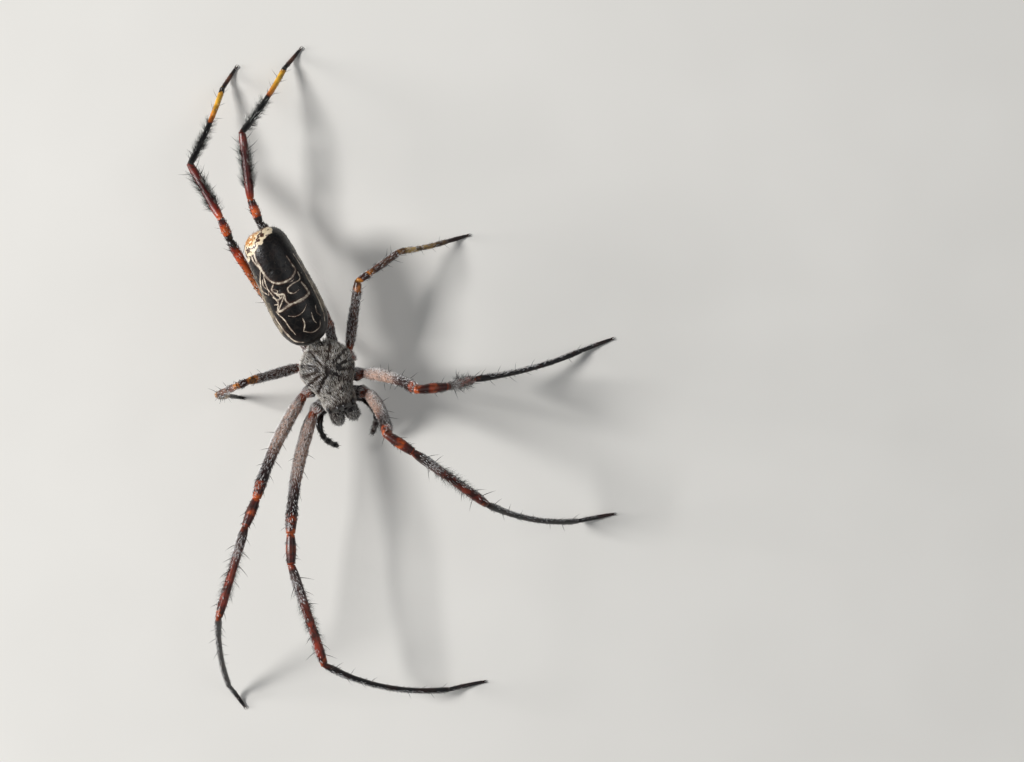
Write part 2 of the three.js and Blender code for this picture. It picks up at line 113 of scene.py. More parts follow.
# Along a piece: its two lips, its two shoulders and what lies between, as shares of its half thickness
FORMS = {
    "coxa": ((0.84, 0.84), (1.0, 1.02), ((0.4, 1.08), (0.72, 0.84))),
    "femur": ((0.8, 0.8), (0.98, 0.96), ((0.2, 1.08), (0.45, 1.04), (0.75, 0.88))),
    "patella": ((0.82, 0.82), (1.0, 0.98), ((0.5, 1.08),)),
    "tibia": ((0.84, 0.86), (1.04, 1.0), ((0.25, 1.04), (0.6, 0.96))),
    "metatarsus": ((1.06, 0.94), (1.24, 1.0), ((0.15, 1.06), (0.4, 0.98), (0.8, 0.98))),
    "tarsus": ((0.94, 0.64), (1.0, 0.82), ((0.3, 1.0), (0.6, 0.94))),
}
# The solids' gap at a joint. A shoulder stands this many half thicknesses and half a gap from the joint.
GAP = 0.3
SHOULDER = 1.2
# The skin's thickness as a share of the solids', which are no thinner than 0.5 mm where real feet are
SKIN_SHARES = {
    "coxa": 0.96, "femur": 0.95, "patella": 0.96, "tibia": 0.95, "metatarsus": 0.84, "tarsus": 0.72,
}
LEG_SIDES = 28
# Rows of points along a piece of leg, and how much they crowd towards its joints
ROWS_PER_MM = 3.2
FEWEST_ROWS = 12
CROWDING = 0.35
# The lips stand this far back from the joint, and the soft neck between them is this share as thick
LIP = 0.06
NECK = 0.74
# The skin starts this far inside the body, and closes past the foot's end in ever smaller rings,
# given as the share of its half thickness and the distance
HIP_DEPTH = 0.4
FOOT_TIP = ((0.86, 0.03), (0.6, 0.06), (0.25, 0.075))


# Shapes


def direction(heading, pitch):
    heading, pitch = math.radians(heading), math.radians(pitch)
    level = math.cos(pitch)
    return np.array([level * math.cos(heading), level * math.sin(heading), math.sin(pitch)])


def unit(v):
    v = np.asarray(v, float)
    return v / np.linalg.norm(v, axis=-1, keepdims=True)


def place(points):
    """Millimetres in the body's own frame to metres in the shared frame."""
    return np.asarray(points, float) * MM + ORIGIN


def smooth_through(xs, ys, x):
    """A smooth curve through the given values, one cubic a span."""
    xs, ys, x = (np.asarray(v, float) for v in (xs, ys, x))
    slopes = np.gradient(ys, xs)
    i = np.clip(np.searchsorted(xs, x) - 1, 0, len(xs) - 2)
    h = xs[i + 1] - xs[i]
    t = np.clip((x - xs[i]) / h, 0, 1)
    return (
        (2 * t**3 - 3 * t**2 + 1) * ys[i]
        + (t**3 - 2 * t**2 + t) * h * slopes[i]
        + (3 * t**2 - 2 * t**3) * ys[i + 1]
        + (t**3 - t**2) * h * slopes[i + 1]
    )


def between(value, low, high):
    """0 up to the low value, 1 from the high one on, and even between them."""
    return np.clip((value - low) / (high - low), 0, 1)


def link(name, data):
    """A new object in the scene."""
    made = bpy.data.objects.new(name, data)
    bpy.context.scene.collection.objects.link(made)
    return made


class Shape:
    """Points, faces and named values at the points of one mesh, gathered from several forms."""

    def __init__(self):
        self.points, self.faces, self.values, self.uvs = [], [], {}, []
        self.count = 0

    def add(self, points, faces, uv=None, **values):
        points = np.asarray(points, float)
        self.points.append(points)
        self.faces += [tuple(int(i) + self.count for i in face) for face in faces]
        for name, value in values.items():
            self.values.setdefault(name, []).append(np.asarray(value, float))
        if uv is not None:
            self.uvs.append(np.asarray(uv, float))
        self.count += len(points)

    def add_tube(self, path, halves, sides, **masks):
        """Adds a closed tube. With masks it also gets what a coat reads, with the hair along it."""
        points, along = tube(path, halves, sides)
        rows = len(halves)
        if masks:
            uv, values = uv_of(rows, sides), dressed(np.repeat(along, sides, 0), len(points), **masks)
            self.add(points, grid_faces(rows, sides), uv, **values)
        else:
            self.add(points, grid_faces(rows, sides))

    def build(self, name):
        mesh = bpy.data.meshes.new(name)
        mesh.from_pydata(place(np.concatenate(self.points)).tolist(), [], self.faces)
        for key, parts in self.values.items():
            data = np.concatenate(parts)
            kind, field = ("FLOAT_VECTOR", "vector") if data.ndim == 2 else ("FLOAT", "value")
            mesh.attributes.new(key, kind, "POINT").data.foreach_set(field, data.ravel())
        if self.uvs:
            layer = mesh.uv_layers.new(name="SkinMap")
            corners = np.zeros(len(mesh.loops), np.int32)
            mesh.loops.foreach_get("vertex_index", corners)
            layer.data.foreach_set("uv", np.concatenate(self.uvs)[corners].ravel())
        mesh.polygons.foreach_set("use_smooth", np.ones(len(mesh.polygons), bool))
        mesh.update()
        return link(name, mesh)


def grid_faces(rows, sides):
    """Faces of a tube of rings, wound to face outwards, with each end closed by its own ring."""
    faces = []
    for i in range(rows - 1):
        for j in range(sides):
            a, b = i * sides + j, i * sides + (j + 1) % sides
            faces.append((a, b, b + sides, a + sides))
    faces.append(tuple(reversed(range(sides))))
    faces.append(tuple(range((rows - 1) * sides, rows * sides)))
    return faces


def ring_frame(along, side):
    """The two directions across a ring, the first as near to the given side as it can be."""
    side = np.asarray(side, float)
    across = unit(side - along * np.dot(side, along))
    return across, np.cross(along, across)


def angles(sides):
    return (np.arange(sides) + 0.5) / sides * 2 * math.pi


def circle(turn, across, up):
    """Directions out from a ring's middle to its corners."""
    return np.cos(turn)[:, None] * across + np.sin(turn)[:, None] * up


def uv_of(rows, sides):
    """A tube unrolled onto the unit square, with a margin."""
    u = np.repeat(np.linspace(0.02, 0.98, rows), sides)
    v = np.tile(0.02 + 0.96 * (np.arange(sides) + 0.5) / sides, rows)
    return np.stack([u, v], 1)


def tube(points, halves, sides):
    """A round tube on a smooth path through the points: its own points, and its way at each row."""
    points = np.asarray(points, float)
    knots = np.concatenate([[0], np.cumsum(np.linalg.norm(np.diff(points, axis=0), axis=1))])
    at = np.linspace(0, knots[-1], len(halves))
    path = np.stack([smooth_through(knots, points[:, k], at) for k in range(3)], 1)
    along = unit(np.gradient(path, axis=0))
    across = (0, 1, 0) if abs(along[0][0]) > 0.9 else (1, 0, 0)
    turn = angles(sides)
    rings = []
    for centre, axis, half in zip(path, along, halves):
        across, up = ring_frame(axis, across)
        rings.append(centre + half * circle(turn, across, up))
    return np.concatenate(rings), along


def swelling(stations, halves, rows):
    """Half thicknesses of a tube's rows, through the given ones."""
    return smooth_through(stations, halves, np.linspace(0, stations[-1], rows))


def dressed(lie, count, stature=1.0, **masks):
    """Values at a skin's points that its coat reads: the way hair lies, its height and where it grows."""
    lie = np.tile(unit(lie), (count, 1)) if np.ndim(lie) == 1 else unit(lie)
    masks["stature"] = stature
    return dict(lie=lie, **{key: np.broadcast_to(value, count) for key, value in masks.items()})


# Legs


class Piece:
    """One length of a leg: a curve from joint to joint."""

    def __init__(self, name, start, end, bow, half):
        self.name, self.start, self.end, self.half = name, start, end, half
        self.length = float(np.linalg.norm(end - start))
        self.middle = (start + end) / 2 + 2 * bow
        if name == "tarsus":
            self.middle[2] = end[2]

    def at(self, s):
        s = np.asarray(s, float)[..., None]
        return (1 - s) ** 2 * self.start + 2 * s * (1 - s) * self.middle + s**2 * self.end

    def along(self, s):
        s = np.asarray(s, float)[..., None]
        return unit((1 - s) * (self.middle - self.start) + s * (self.end - self.middle))

    def left(self):
        chord = self.end - self.start
        return unit(np.array([-chord[1], chord[0], 0.0]))

    def half_at(self, s):
        ends, shoulders, inner = FORMS[self.name]
        shoulder = (SHOULDER * self.half + GAP / 2) / self.length
        xs = [0, shoulder, *(shoulder + t * (1 - 2 * shoulder) for t, _ in inner), 1 - shoulder, 1]
        ys = [ends[0], shoulders[0], *(f for _, f in inner), shoulders[1], ends[1]]
        return smooth_through(xs, ys, s) * self.half * SKIN_SHARES[self.name]


def leg_pieces(side, pair):
    mirror = 1 if side == "left" else -1
    lengths = LENGTHS[pair]
    stance = STANCE[side][pair]
    joint = np.array([ROOTS[pair][0] * mirror, ROOTS[pair][1], HIP_HEIGHT])
    foot_drop = -math.sin(math.radians(stance[-1][1])) * lengths[-1]
    pieces = []
    for i, (name, (heading, pitch)) in enumerate(zip(PIECES, stance)):
        if pitch is None:
            pitch = -math.degrees(math.asin((joint[2] - FOOT_CENTRE - foot_drop) / lengths[i]))
        end = joint + direction(heading, pitch) * lengths[i]
        chord = end - joint
        left = unit(np.array([-chord[1], chord[0], 0.0]))
        bow = np.zeros(3)
        if name == "femur":
            bow[2] = FEMUR_ARCH[pair - 1]
        if name in BOWS:
            bow = bow - left * BOWS[name][side][pair - 1]
        pieces.append(Piece(name, joint, end, bow, THICKNESSES[pair][i] / 2))
        joint = end
    return pieces


def leg_rows(piece):
    """Stations along a piece, closer near the joints where the lips curl in."""
    s = np.linspace(0, 1, max(FEWEST_ROWS, int(piece.length * ROWS_PER_MM)))
    return s - CROWDING * np.sin(2 * math.pi * s) / (2 * math.pi)


def leg_shape(side, pair):
    """One closed skin from the hip to the foot, drawn in to a soft neck at each joint."""
    pieces = leg_pieces(side, pair)
    turn = angles(LEG_SIDES)
    rings, reaches, ways, flanks = [], [], [], []
    side_now = pieces[0].left()

    def keep(points, reach, way, flank):
        rings.append(points)
        reaches.append(np.full(LEG_SIDES, reach))
        ways.append(np.tile(way, (LEG_SIDES, 1)))
        flanks.append(flank)

    for i, piece in enumerate(pieces):
        start_way, end_way = piece.along(0.0), piece.along(1.0)
        before = pieces[i - 1].along(1.0) if i else start_way
        after = pieces[i + 1].along(0.0) if i < len(pieces) - 1 else end_way
        start_normal, end_normal = unit(start_way + before), unit(end_way + after)
        side_now, up_now = ring_frame(start_way, side_now)
        out = circle(turn, side_now, up_now)
        first = (LIP - out * piece.half_at(0.0) @ start_normal) / np.dot(start_way, start_normal)
        if i:
            neck = min(pieces[i - 1].half_at(1.0), piece.half_at(0.0)) * NECK
            slide = -(out * neck) @ start_normal / np.dot(start_way, start_normal)
            keep(piece.start + out * neck + slide[:, None] * start_way, i, start_way, out @ piece.left())
        for s in leg_rows(piece):
            way = piece.along(s)
            side_now, up_now = ring_frame(way, side_now)
            out = circle(turn, side_now, up_now)
            last = (-LIP - (out * piece.half_at(1.0)) @ end_normal) / np.dot(end_way, end_normal)
            begin, finish = first / piece.length, 1 + last / piece.length
            if i == 0:
                begin = np.full(LEG_SIDES, -HIP_DEPTH / piece.length)
            if i == len(pieces) - 1:
                finish = np.ones(LEG_SIDES)
            u = begin + s * (finish - begin)
            left = unit(np.array([-way[1], way[0], 1e-9]))
            keep(piece.at(u) + out * piece.half_at(s), i + s, way, out @ left)
    foot = pieces[-1]
    ahead = foot.along(1.0)
    for share, past in FOOT_TIP:
        half = foot.half_at(1.0) * share
        keep(foot.end + ahead * past + out * half, len(pieces), ahead, np.zeros(LEG_SIDES))
    points = np.concatenate(rings)
    points[:, 2] = np.maximum(points[:, 2], 0.0)
    reach = np.concatenate(reaches)
    around = np.tile((np.arange(LEG_SIDES) + 0.5) / LEG_SIDES, len(rings))
    uv = np.stack([0.01 + 0.97 * reach / len(pieces), 0.01 + 0.97 * around], 1)
    faces = grid_faces(len(rings), LEG_SIDES)
    return pieces, points, faces, uv, reach, np.concatenate(ways), np.concatenate(flanks)


# Nodes

MATHS, VECTORS, RANDOM = "ShaderNodeMath", "ShaderNodeVectorMath", "FunctionNodeRandomValue"
NOISE, CELLS, RANGE = "ShaderNodeTexNoise", "ShaderNodeTexVoronoi", "ShaderNodeMapRange"
MIX, RAMP, ATTRIBUTE = "ShaderNodeMix", "ShaderNodeValToRGB", "ShaderNodeAttribute"
SPLIT, COMBINE = "ShaderNodeSeparateXYZ", "ShaderNodeCombineXYZ"
NAMED, STORE = "GeometryNodeInputNamedAttribute", "GeometryNodeStoreNamedAttribute"

# Settings that many nodes share
PLUS, TIMES = {"operation": "ADD"}, {"operation": "MULTIPLY"}
COLOURS = {"data_type": "RGBA", "out": 2}
AT_POINTS = {"data_type": "FLOAT_VECTOR", "domain": "POINT"}


def linear(colour):
    """An sRGB hex colour as linear values."""
    values = [int(colour[i:i + 2], 16) / 255 for i in (1, 3, 5)]
    return tuple(
        v / 12.92 if v <= 0.04045 else ((v + 0.055) / 1.055) ** 2.4 for v in values
    ) + (1.0,)


def set_stops(ramp, stops):
    """Gives a colour ramp its stops, each a place and an sRGB hex colour."""
    while len(ramp.elements) > 1:
        ramp.elements.remove(ramp.elements[-1])
    for i, (position, colour) in enumerate(stops):
        element = ramp.elements.new(position) if i else ramp.elements[0]
        element.position, element.color = position, linear(colour)


def node(tree, kind, *values, out=0, stops=None, **settings):
    """Adds a node, sets it up, fills or links its inputs, and gives one of its outputs, or all for None.

    The inputs are given in order, or in one dictionary by name or number. A list is linked to one
    input link by link, and a text that starts with a hash is a colour.
    """
    made = tree.nodes.new(kind)
    for key, value in settings.items():
        setattr(made, key, value)
    if stops:
        set_stops(made.color_ramp, stops)
    by_key = values and isinstance(values[0], dict)
    for key, value in values[0].items() if by_key else enumerate(values):
        if isinstance(value, (bpy.types.NodeSocket, list)):
            for each in value if isinstance(value, list) else [value]:
                tree.links.new(each, made.inputs[key])
        elif isinstance(value, str) and value.startswith("#"):
            made.inputs[key].default_value = linear(value)
        else:
            made.inputs[key].default_value = value
    return made.outputs if out is None else made.outputs[out]


def new_tree(name, inputs):
    """A Geometry Nodes tree that takes a mesh, the given inputs and a material, and what they give."""
    tree = bpy.data.node_groups.new(name, "GeometryNodeTree")
    for label, kind, default in (("Geometry", "Geometry", None), *inputs, ("Material", "Material", None)):
        socket = tree.interface.new_socket(name=label, in_out="INPUT", socket_type=f"NodeSocket{kind}")
        if default is not None:
            socket.default_value = default
    tree.interface.new_socket(name="Geometry", in_out="OUTPUT", socket_type="NodeSocketGeometry")
    return tree, node(tree, "NodeGroupInput", out=None)


def close_tree(tree, given, geometry):
    """Ends a tree with smooth shading and its material."""
    smooth = node(tree, "GeometryNodeSetShadeSmooth", {"Geometry": geometry})
    painted = node(tree, "GeometryNodeSetMaterial", {"Geometry": smooth, "Material": given["Material"]})
    node(tree, "NodeGroupOutput", painted, out=None)


# The hairs of one tuft: the way each parts from the root in radians, how far, and its height
TUFT = ((0.0, 0.0, 1.0), (2.2, 0.55, 0.84), (4.1, 0.5, 0.76))
# A tuft's own patch on the texture map, per unit of its width and height
PATCH = (0.0015, 0.0015, 0.003)
# The tallest tuft's share of its coat's length
TALLEST = 1.12


def coat_tree():
    """Tufts of tapering, bent hairs spread over a skin by its own mask, lying along its lie."""
    tree, given = new_tree("Coat", (
        ("Mask", "String", "hair"), ("Density", "Float", 40.0), ("Length", "Float", 0.3),
        ("Thickness", "Float", 0.02), ("Spread", "Float", 0.3), ("Lean", "Float", 25.0),
        ("Sway", "Float", 8.0), ("Unruly", "Float", 0.15), ("Bend", "Float", 0.3),
        ("Shortest", "Float", 0.7), ("Steps", "Int", 3), ("Seed", "Int", 1),
    ))
    add = partial(node, tree)

    # One tuft: three hairs that part from one root and bend over towards +Y
    hairs = []
    for turn, tilt, tall in TUFT:
        cone = add("GeometryNodeMeshCone", {
            "Vertices": 3, "Side Segments": given["Steps"], "Fill Segments": 1, "Radius Top": 0.0,
            "Radius Bottom": 1.0, "Depth": 1.0}, fill_type="TRIANGLE_FAN", out="Mesh")
        x, y, z = add(SPLIT, add("GeometryNodeInputPosition"), out=None)
        height = add(MATHS, z, tall, **TIMES)
        part = add(MATHS, add(MATHS, height, given["Spread"], **TIMES), tilt, **TIMES)
        fall = add(MATHS, add(MATHS, height, height, **TIMES), given["Bend"], **TIMES)
        x, y = (add(MATHS, each, given["Thickness"], **TIMES) for each in (x, y))
        x = add(MATHS, x, add(MATHS, part, math.cos(turn), **TIMES), **PLUS)
        aside = add(MATHS, add(MATHS, part, math.sin(turn), **TIMES), fall, **PLUS)
        y = add(MATHS, y, aside, **PLUS)
        bent = add(COMBINE, x, y, height)
        hairs.append(add("GeometryNodeSetPosition", {"Geometry": cone, "Position": bent}))
    joined = add("GeometryNodeJoinGeometry", hairs)
    patch = add(VECTORS, add("GeometryNodeInputPosition"), PATCH, **TIMES)
    x, _, z = add(SPLIT, patch, out=None)
    flat = add(COMBINE, z, x)
    tuft = add(STORE, {"Geometry": joined, "Name": "patch", "Value": flat}, **AT_POINTS)

    # Roots over the skin, which keep its normal
    mask = add(NAMED, {"Name": given["Mask"]}, data_type="FLOAT")
    density = add(MATHS, mask, given["Density"], **TIMES)
    roots, normals, *_ = add("GeometryNodeDistributePointsOnFaces", {
        "Mesh": given["Geometry"], "Density": density, "Seed": given["Seed"]},
        distribute_method="RANDOM", out=None)
    roots = add(STORE, {"Geometry": roots, "Name": "root_normal", "Value": normals}, **AT_POINTS)
    lie = add(NAMED, {"Name": "lie"}, data_type="FLOAT_VECTOR")
    normal = add(NAMED, {"Name": "root_normal"}, data_type="FLOAT_VECTOR")
    stature = add(NAMED, {"Name": "stature"}, data_type="FLOAT")

    # Chance values, each by a seed of its own
    chances = []
    ranges = ((-1.0, 1.0, 11), (-1.0, 1.0, 23), (given["Shortest"], TALLEST, 37), (0.0, 1.0, 41))
    for low, high, step in ranges:
        seed = add(MATHS, given["Seed"], step, **PLUS)
        chances.append(add(RANDOM, {2: low, 3: high, "Seed": seed}, data_type="FLOAT", out=1))
    tipped, strayed, size, tint = chances

    # Each tuft rises from the skin by its lean, along the lie and a little astray
    across = add(VECTORS, add(VECTORS, lie, normal, operation="CROSS_PRODUCT"), operation="NORMALIZE")
    sway = add(MATHS, given["Sway"], tipped, **TIMES)
    lean = add(MATHS, add(MATHS, given["Lean"], sway, **PLUS), operation="RADIANS")
    stray = add(MATHS, strayed, given["Unruly"], **TIMES)
    shares = (
        (lie, add(MATHS, lean, operation="COSINE")), (normal, add(MATHS, lean, operation="SINE")),
        (across, stray),
    )
    lying, rising, astray = (add(VECTORS, {0: way, "Scale": by}, operation="SCALE") for way, by in shares)
    aim = add(VECTORS, add(VECTORS, lying, rising, **PLUS), astray, **PLUS)
    aim = add(VECTORS, aim, operation="NORMALIZE")
    turned = add("FunctionNodeAxesToRotation", aim, across, primary_axis="Z", secondary_axis="X")
    long = add(MATHS, add(MATHS, given["Length"], stature, **TIMES), size, **TIMES)
    tufts = add("GeometryNodeInstanceOnPoints", {
        "Points": roots, "Instance": tuft, "Rotation": turned, "Scale": add(COMBINE, long, long, long)})
    tufts = add(STORE, {"Geometry": tufts, "Name": "tint", "Value": tint}, data_type="FLOAT",
                domain="INSTANCE")
    solid = add("GeometryNodeRealizeInstances", tufts)

    # The texture map is the skin's own at the root, plus the tuft's patch
    skin_map = add(NAMED, {"Name": "SkinMap"}, data_type="FLOAT_VECTOR")
    own = add(NAMED, {"Name": "patch"}, data_type="FLOAT_VECTOR")
    solid = add(STORE, {
        "Geometry": solid, "Name": "OFBake", "Value": add(VECTORS, skin_map, own, **PLUS)},
        data_type="FLOAT2", domain="CORNER")
    for name in ("patch", "root_normal", "lie", "stature", "SkinMap"):
        solid = add("GeometryNodeRemoveAttribute", {"Geometry": solid, "Name": name})
    close_tree(tree, given, solid)
    return tree


def run_tree(tree, name, mesh, inputs):
    """Runs a node tree on a mesh, with inputs set by identifier, and keeps the result as a plain mesh."""
    carrier = link("carrier", mesh)
    modifier = carrier.modifiers.new(tree.name, "NODES")
    modifier.node_group = tree
    sockets = {item.name: item.identifier for item in tree.interface.items_tree if item.in_out == "INPUT"}
    for key, value in inputs.items():
        modifier[sockets[key]] = value
    graph = bpy.context.evaluated_depsgraph_get()
    result = bpy.data.meshes.new_from_object(carrier.evaluated_get(graph))
    bpy.data.objects.remove(carrier)
    result.name = name
    return link(name, result)


def keep_above_floor(mesh):
    """Bends the few hair tips that would pass through the floor back onto it."""
    points = np.zeros(3 * len(mesh.vertices), np.float32)
    mesh.vertices.foreach_get("co", points)
    points[2::3] = np.maximum(points[2::3], 0)
    mesh.vertices.foreach_set("co", points)
    mesh.update()


def finish_piece(piece, slot, material=None, replaces=()):
    """Gives a piece its material, ties it to the body and hides the nodes that it replaces. The slot is not
    used.
    """
    if material:
        piece.data.materials.clear()
        piece.data.materials.append(material)
    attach(piece, BODY)
    if replaces:
        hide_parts(*replaces)
    return piece


def seed_of(name):
    """A fixed seed of its own for each coat."""
    return sum(ord(c) * (i + 1) for i, c in enumerate(name)) % 9973


def grow_coat(name, skin, material, slot, **values):
    """Grows a coat on a copy of a skin, and keeps it as a plain mesh that rides on the body.

    The density is in tufts a square millimetre, the length in millimetres, and the thickness and
    the spread are shares of the length.
    """
    tree = bpy.data.node_groups.get("Coat") or coat_tree()
    values["density"] *= settings().coat_density / MM**2
    values["length"] *= MM
    inputs = {key.capitalize(): value for key, value in values.items()}
    piece = run_tree(tree, name, skin.data.copy(), {"Material": material, **inputs})
    piece.data.uv_layers["OFBake"].active = True
    keep_above_floor(piece.data)
    return finish_piece(piece, slot)


# Materials


def grain(size, detail=3.0, unit=MM):
    """Inputs of a noise with patches of the given size in millimetres.

    The unit is a millimetre on the coordinates that the noise reads, which are metres by default.
    """
    return {"Scale": 1 / (size * unit), "Detail": detail, "Roughness": 0.55}


def material(name, colour, relief=None, **values):
    """A principled material, made once. Its colour comes from a function of its tree.

    Its relief is the size of the grains in millimetres, the noise's detail, the strength and the
    height of the grains in millimetres.
    """
    made = bpy.data.materials.get(name)
    if made:
        return made
    made = bpy.data.materials.new(name)
    made.use_nodes = True
    tree = made.node_tree
    shader = tree.nodes["Principled BSDF"]
    for key, value in values.items():
        shader.inputs[key.replace("_", " ")].default_value = value
    tree.links.new(colour(tree), shader.inputs["Base Color"])
    if relief:
        size, detail, strength, height = relief
        where = node(tree, "ShaderNodeTexCoord", out="Object")
        grains = node(tree, NOISE, {"Vector": where, **grain(size, detail)})
        bump = {"Height": grains, "Strength": strength, "Distance": height * MM}
        tree.links.new(node(tree, "ShaderNodeBump", bump), shader.inputs["Normal"])
    return made


def mottled(dark, pale, size, low, high, detail=3.0):
    """A colour that goes from dark to pale in soft patches of the given size in millimetres."""

    def colour(tree):
        where = node(tree, "ShaderNodeTexCoord", out="Object")
        patches = node(tree, NOISE, {"Vector": where, **grain(size, detail)})
        patches = node(tree, RANGE, patches, low, high)
        return node(tree, MIX, {0: patches, 6: dark, 7: pale}, **COLOURS)

    return colour


# Bands along a leg, by reach: the piece's number from the hip, plus the share of its length
FRONT_BANDS = (
    (0.0, "#1c1512"), (0.7, "#3a2c26"), (0.88, "#8c4222"), (1.03, "#944e36"), (1.06, "#a68476"),
    (1.2, "#ba9a8a"), (1.5, "#a48270"), (1.6, "#5c382e"), (1.7, "#2a1210"), (1.85, "#200b09"),
    (1.885, "#8c3612"), (1.915, "#a44416"), (1.925, "#381008"), (1.96, "#46130a"), (1.975, "#b4521c"),
    (2.06, "#a44417"), (2.12, "#58190c"), (2.32, "#42130b"), (2.4, "#923816"), (2.56, "#ac4c1c"),
    (2.64, "#561a0d"), (2.92, "#30100b"), (2.97, "#923816"), (3.02, "#5a2415"), (3.06, "#2e201c"),
    (3.16, "#6a5a56"), (3.34, "#6a4640"), (3.42, "#78301f"), (3.7, "#8c3622"), (3.86, "#7c2a1c"),
    (3.915, "#280d0a"), (3.945, "#a44618"), (3.99, "#8c3816"), (4.02, "#161010"), (4.2, "#0f0c0c"),
    (5.1, "#131010"), (5.85, "#0a0808"),
)
THIRD_BANDS = (
    (0.0, "#231a17"), (0.85, "#b4542a"), (1.02, "#b4542a"), (1.08, "#5a3c30"), (1.5, "#54382c"),
    (1.84, "#3c2218"), (1.9, "#c87424"), (1.95, "#3c1c10"), (2.0, "#d08a30"), (2.1, "#c8742a"),
    (2.22, "#40201a"), (2.7, "#3c1e16"), (2.86, "#d07a28"), (2.93, "#3a1c14"), (3.0, "#d0802c"),
    (3.08, "#6a4236"), (3.4, "#74503e"), (3.85, "#4c2c20"), (3.96, "#b07838"), (4.02, "#5a3c24"),
    (4.12, "#c09c5c"), (4.3, "#d2b070"), (4.6, "#a88450"), (4.94, "#5c4228"), (5.05, "#2c2018"),
    (5.9, "#100c0b"),
)
HIND_BANDS = (
    (0.0, "#231a17"), (0.8, "#5c4640"), (0.93, "#a86a50"), (1.0, "#8a6e66"), (1.2, "#86685c"),
    (1.42, "#96694c"), (1.6, "#a05c34"), (1.76, "#a8481c"), (1.88, "#b03c12"), (1.93, "#701e0a"),
    (1.95, "#180a07"), (2.22, "#140907"), (2.27, "#b44a1a"), (2.46, "#c85c20"), (2.66, "#b4441a"),
    (2.74, "#5e1a0e"), (2.9, "#3a120c"), (2.94, "#1c0a07"), (2.97, "#b44e22"), (3.05, "#943017"),
    (3.12, "#701e10"), (3.3, "#54140e"), (3.6, "#46100c"), (3.84, "#601b11"), (3.9, "#7c2816"),
    (3.94, "#3a0e09"), (3.97, "#742416"), (4.01, "#0e0c0b"), (4.54, "#100d0c"), (4.57, "#a8501c"),
    (4.63, "#dc8428"), (4.73, "#e8a62e"), (4.86, "#eab43a"), (4.945, "#dc9a2e"), (4.965, "#120c0a"),
    (5.05, "#1c120f"), (5.14, "#3a2018"), (5.45, "#5c3a2a"), (5.76, "#1c120e"), (5.95, "#0c0908"),
)
BANDS = {1: FRONT_BANDS, 2: FRONT_BANDS, 3: THIRD_BANDS, 4: HIND_BANDS}
BAND_NAMES = {1: "fore", 2: "fore", 3: "third", 4: "hind"}


def banded(tree, stops):
    """The colours along a leg, with uneven edges. One ramp serves it up to the knee, and one beyond."""
    add = partial(node, tree)
    waver = add(NOISE, {"Vector": add("ShaderNodeTexCoord", out="Object"), **grain(0.588, 2.0)})
    stray = add(MATHS, waver, 0.18, -0.09, operation="MULTIPLY_ADD")
    reach = add(MATHS, add(ATTRIBUTE, out="Fac", attribute_name="reach"), stray, **PLUS)
    halves = []
    for start in (0, 3):
        own = [((at - start) / 3, colour) for at, colour in stops if -0.04 < at - start < 3.04]
        own = [(min(max(at, 0), 1), colour) for at, colour in own]
        halves.append(add(RAMP, add(RANGE, reach, start, start + 3), stops=own))
    return add(MIX, {0: add(RANGE, reach, 2.999, 3.001), 6: halves[0], 7: halves[1]}, **COLOURS)


def leg_cuticle(pair):
    """Hard leg cuticle, banded along the leg, with dark specks round the hair sockets and a waxy gloss."""

    def colour(tree):
        add = partial(node, tree)
        where = add("ShaderNodeTexCoord", out="Object")
        reach = add(ATTRIBUTE, out="Fac", attribute_name="reach")
        shade = add(RANGE, add(NOISE, {"Vector": where, **grain(0.714)}), 0.46, 0.7)
        shade, bands = add(MATHS, shade, 0.5, **TIMES), banded(tree, BANDS[pair])
        shaded = add(MIX, {0: shade, 6: bands, 7: "#0c0706"}, **COLOURS)
        # Smudges of about a millimetre break up the bright rings at the joints of the first three legs
        smudge = add(RANGE, add(NOISE, {"Vector": where, **grain(1.11, 2.0)}), 0.5, 0.6)
        smudge = add(MATHS, smudge, add(RANGE, reach, 1.8, 1.88), **TIMES)
        smudge = add(MATHS, smudge, 0.0 if pair == 4 else 0.8, **TIMES)
        shaded = add(MIX, {0: smudge, 6: shaded, 7: "#2a0f0a"}, **COLOURS)
        # Dark specks of a tenth of a millimetre, three times as far apart, up to the femur's end
        dots = add(CELLS, {"Vector": where, "Scale": 1 / (0.3226 * MM), "Randomness": 1.0})
        speck = add(MATHS, add(RANGE, dots, 0.32, 0.2), add(RANGE, reach, 1.9, 1.5), **TIMES)
        return add(MIX, {0: speck, 6: shaded, 7: "#0e0908"}, **COLOURS)

    name = f"{BAND_NAMES[pair]} leg cuticle"
    return material(name, colour, (0.192, 4.0, 0.35, 0.04), Roughness=0.34, IOR=1.52)


# How much of a leg's bands shows through its silvery hair
BAND_SHARE = 0.1


def hair_of(name, stops, roughness, bands=None):
    """Fine hair: a hollow, translucent filament with a broad pale gleam. Its tint varies by the tuft."""

    def colour(tree):
        own = node(tree, RAMP, node(tree, ATTRIBUTE, out="Fac", attribute_name="tint"), stops=stops)
        if not bands:
            return own
        return node(tree, MIX, {0: BAND_SHARE, 6: own, 7: banded(tree, bands)}, **COLOURS)

    return material(name, colour, Roughness=roughness, IOR=1.55, Specular_IOR_Level=0.6)


def silvery_hair(pair):
    """Flat scaly leg hairs, which scatter the light and read as silver white."""
    stops = ((0.0, "#b0a69e"), (0.3, "#eae6e2"), (0.6, "#ffffff"), (1.0, "#ffffff"))
    return hair_of(f"silvery {BAND_NAMES[pair]} leg hair", stops, 0.36, BANDS[pair])


def body_hair():
    """Silvery hairs of the front body, with darker ones among them, which read as grey velvet."""
    stops = ((0.0, "#7c7268"), (0.4, "#c4bcb0"), (0.75, "#f0ebe2"), (1.0, "#ffffff"))
    return hair_of("silvery body hair", stops, 0.45)


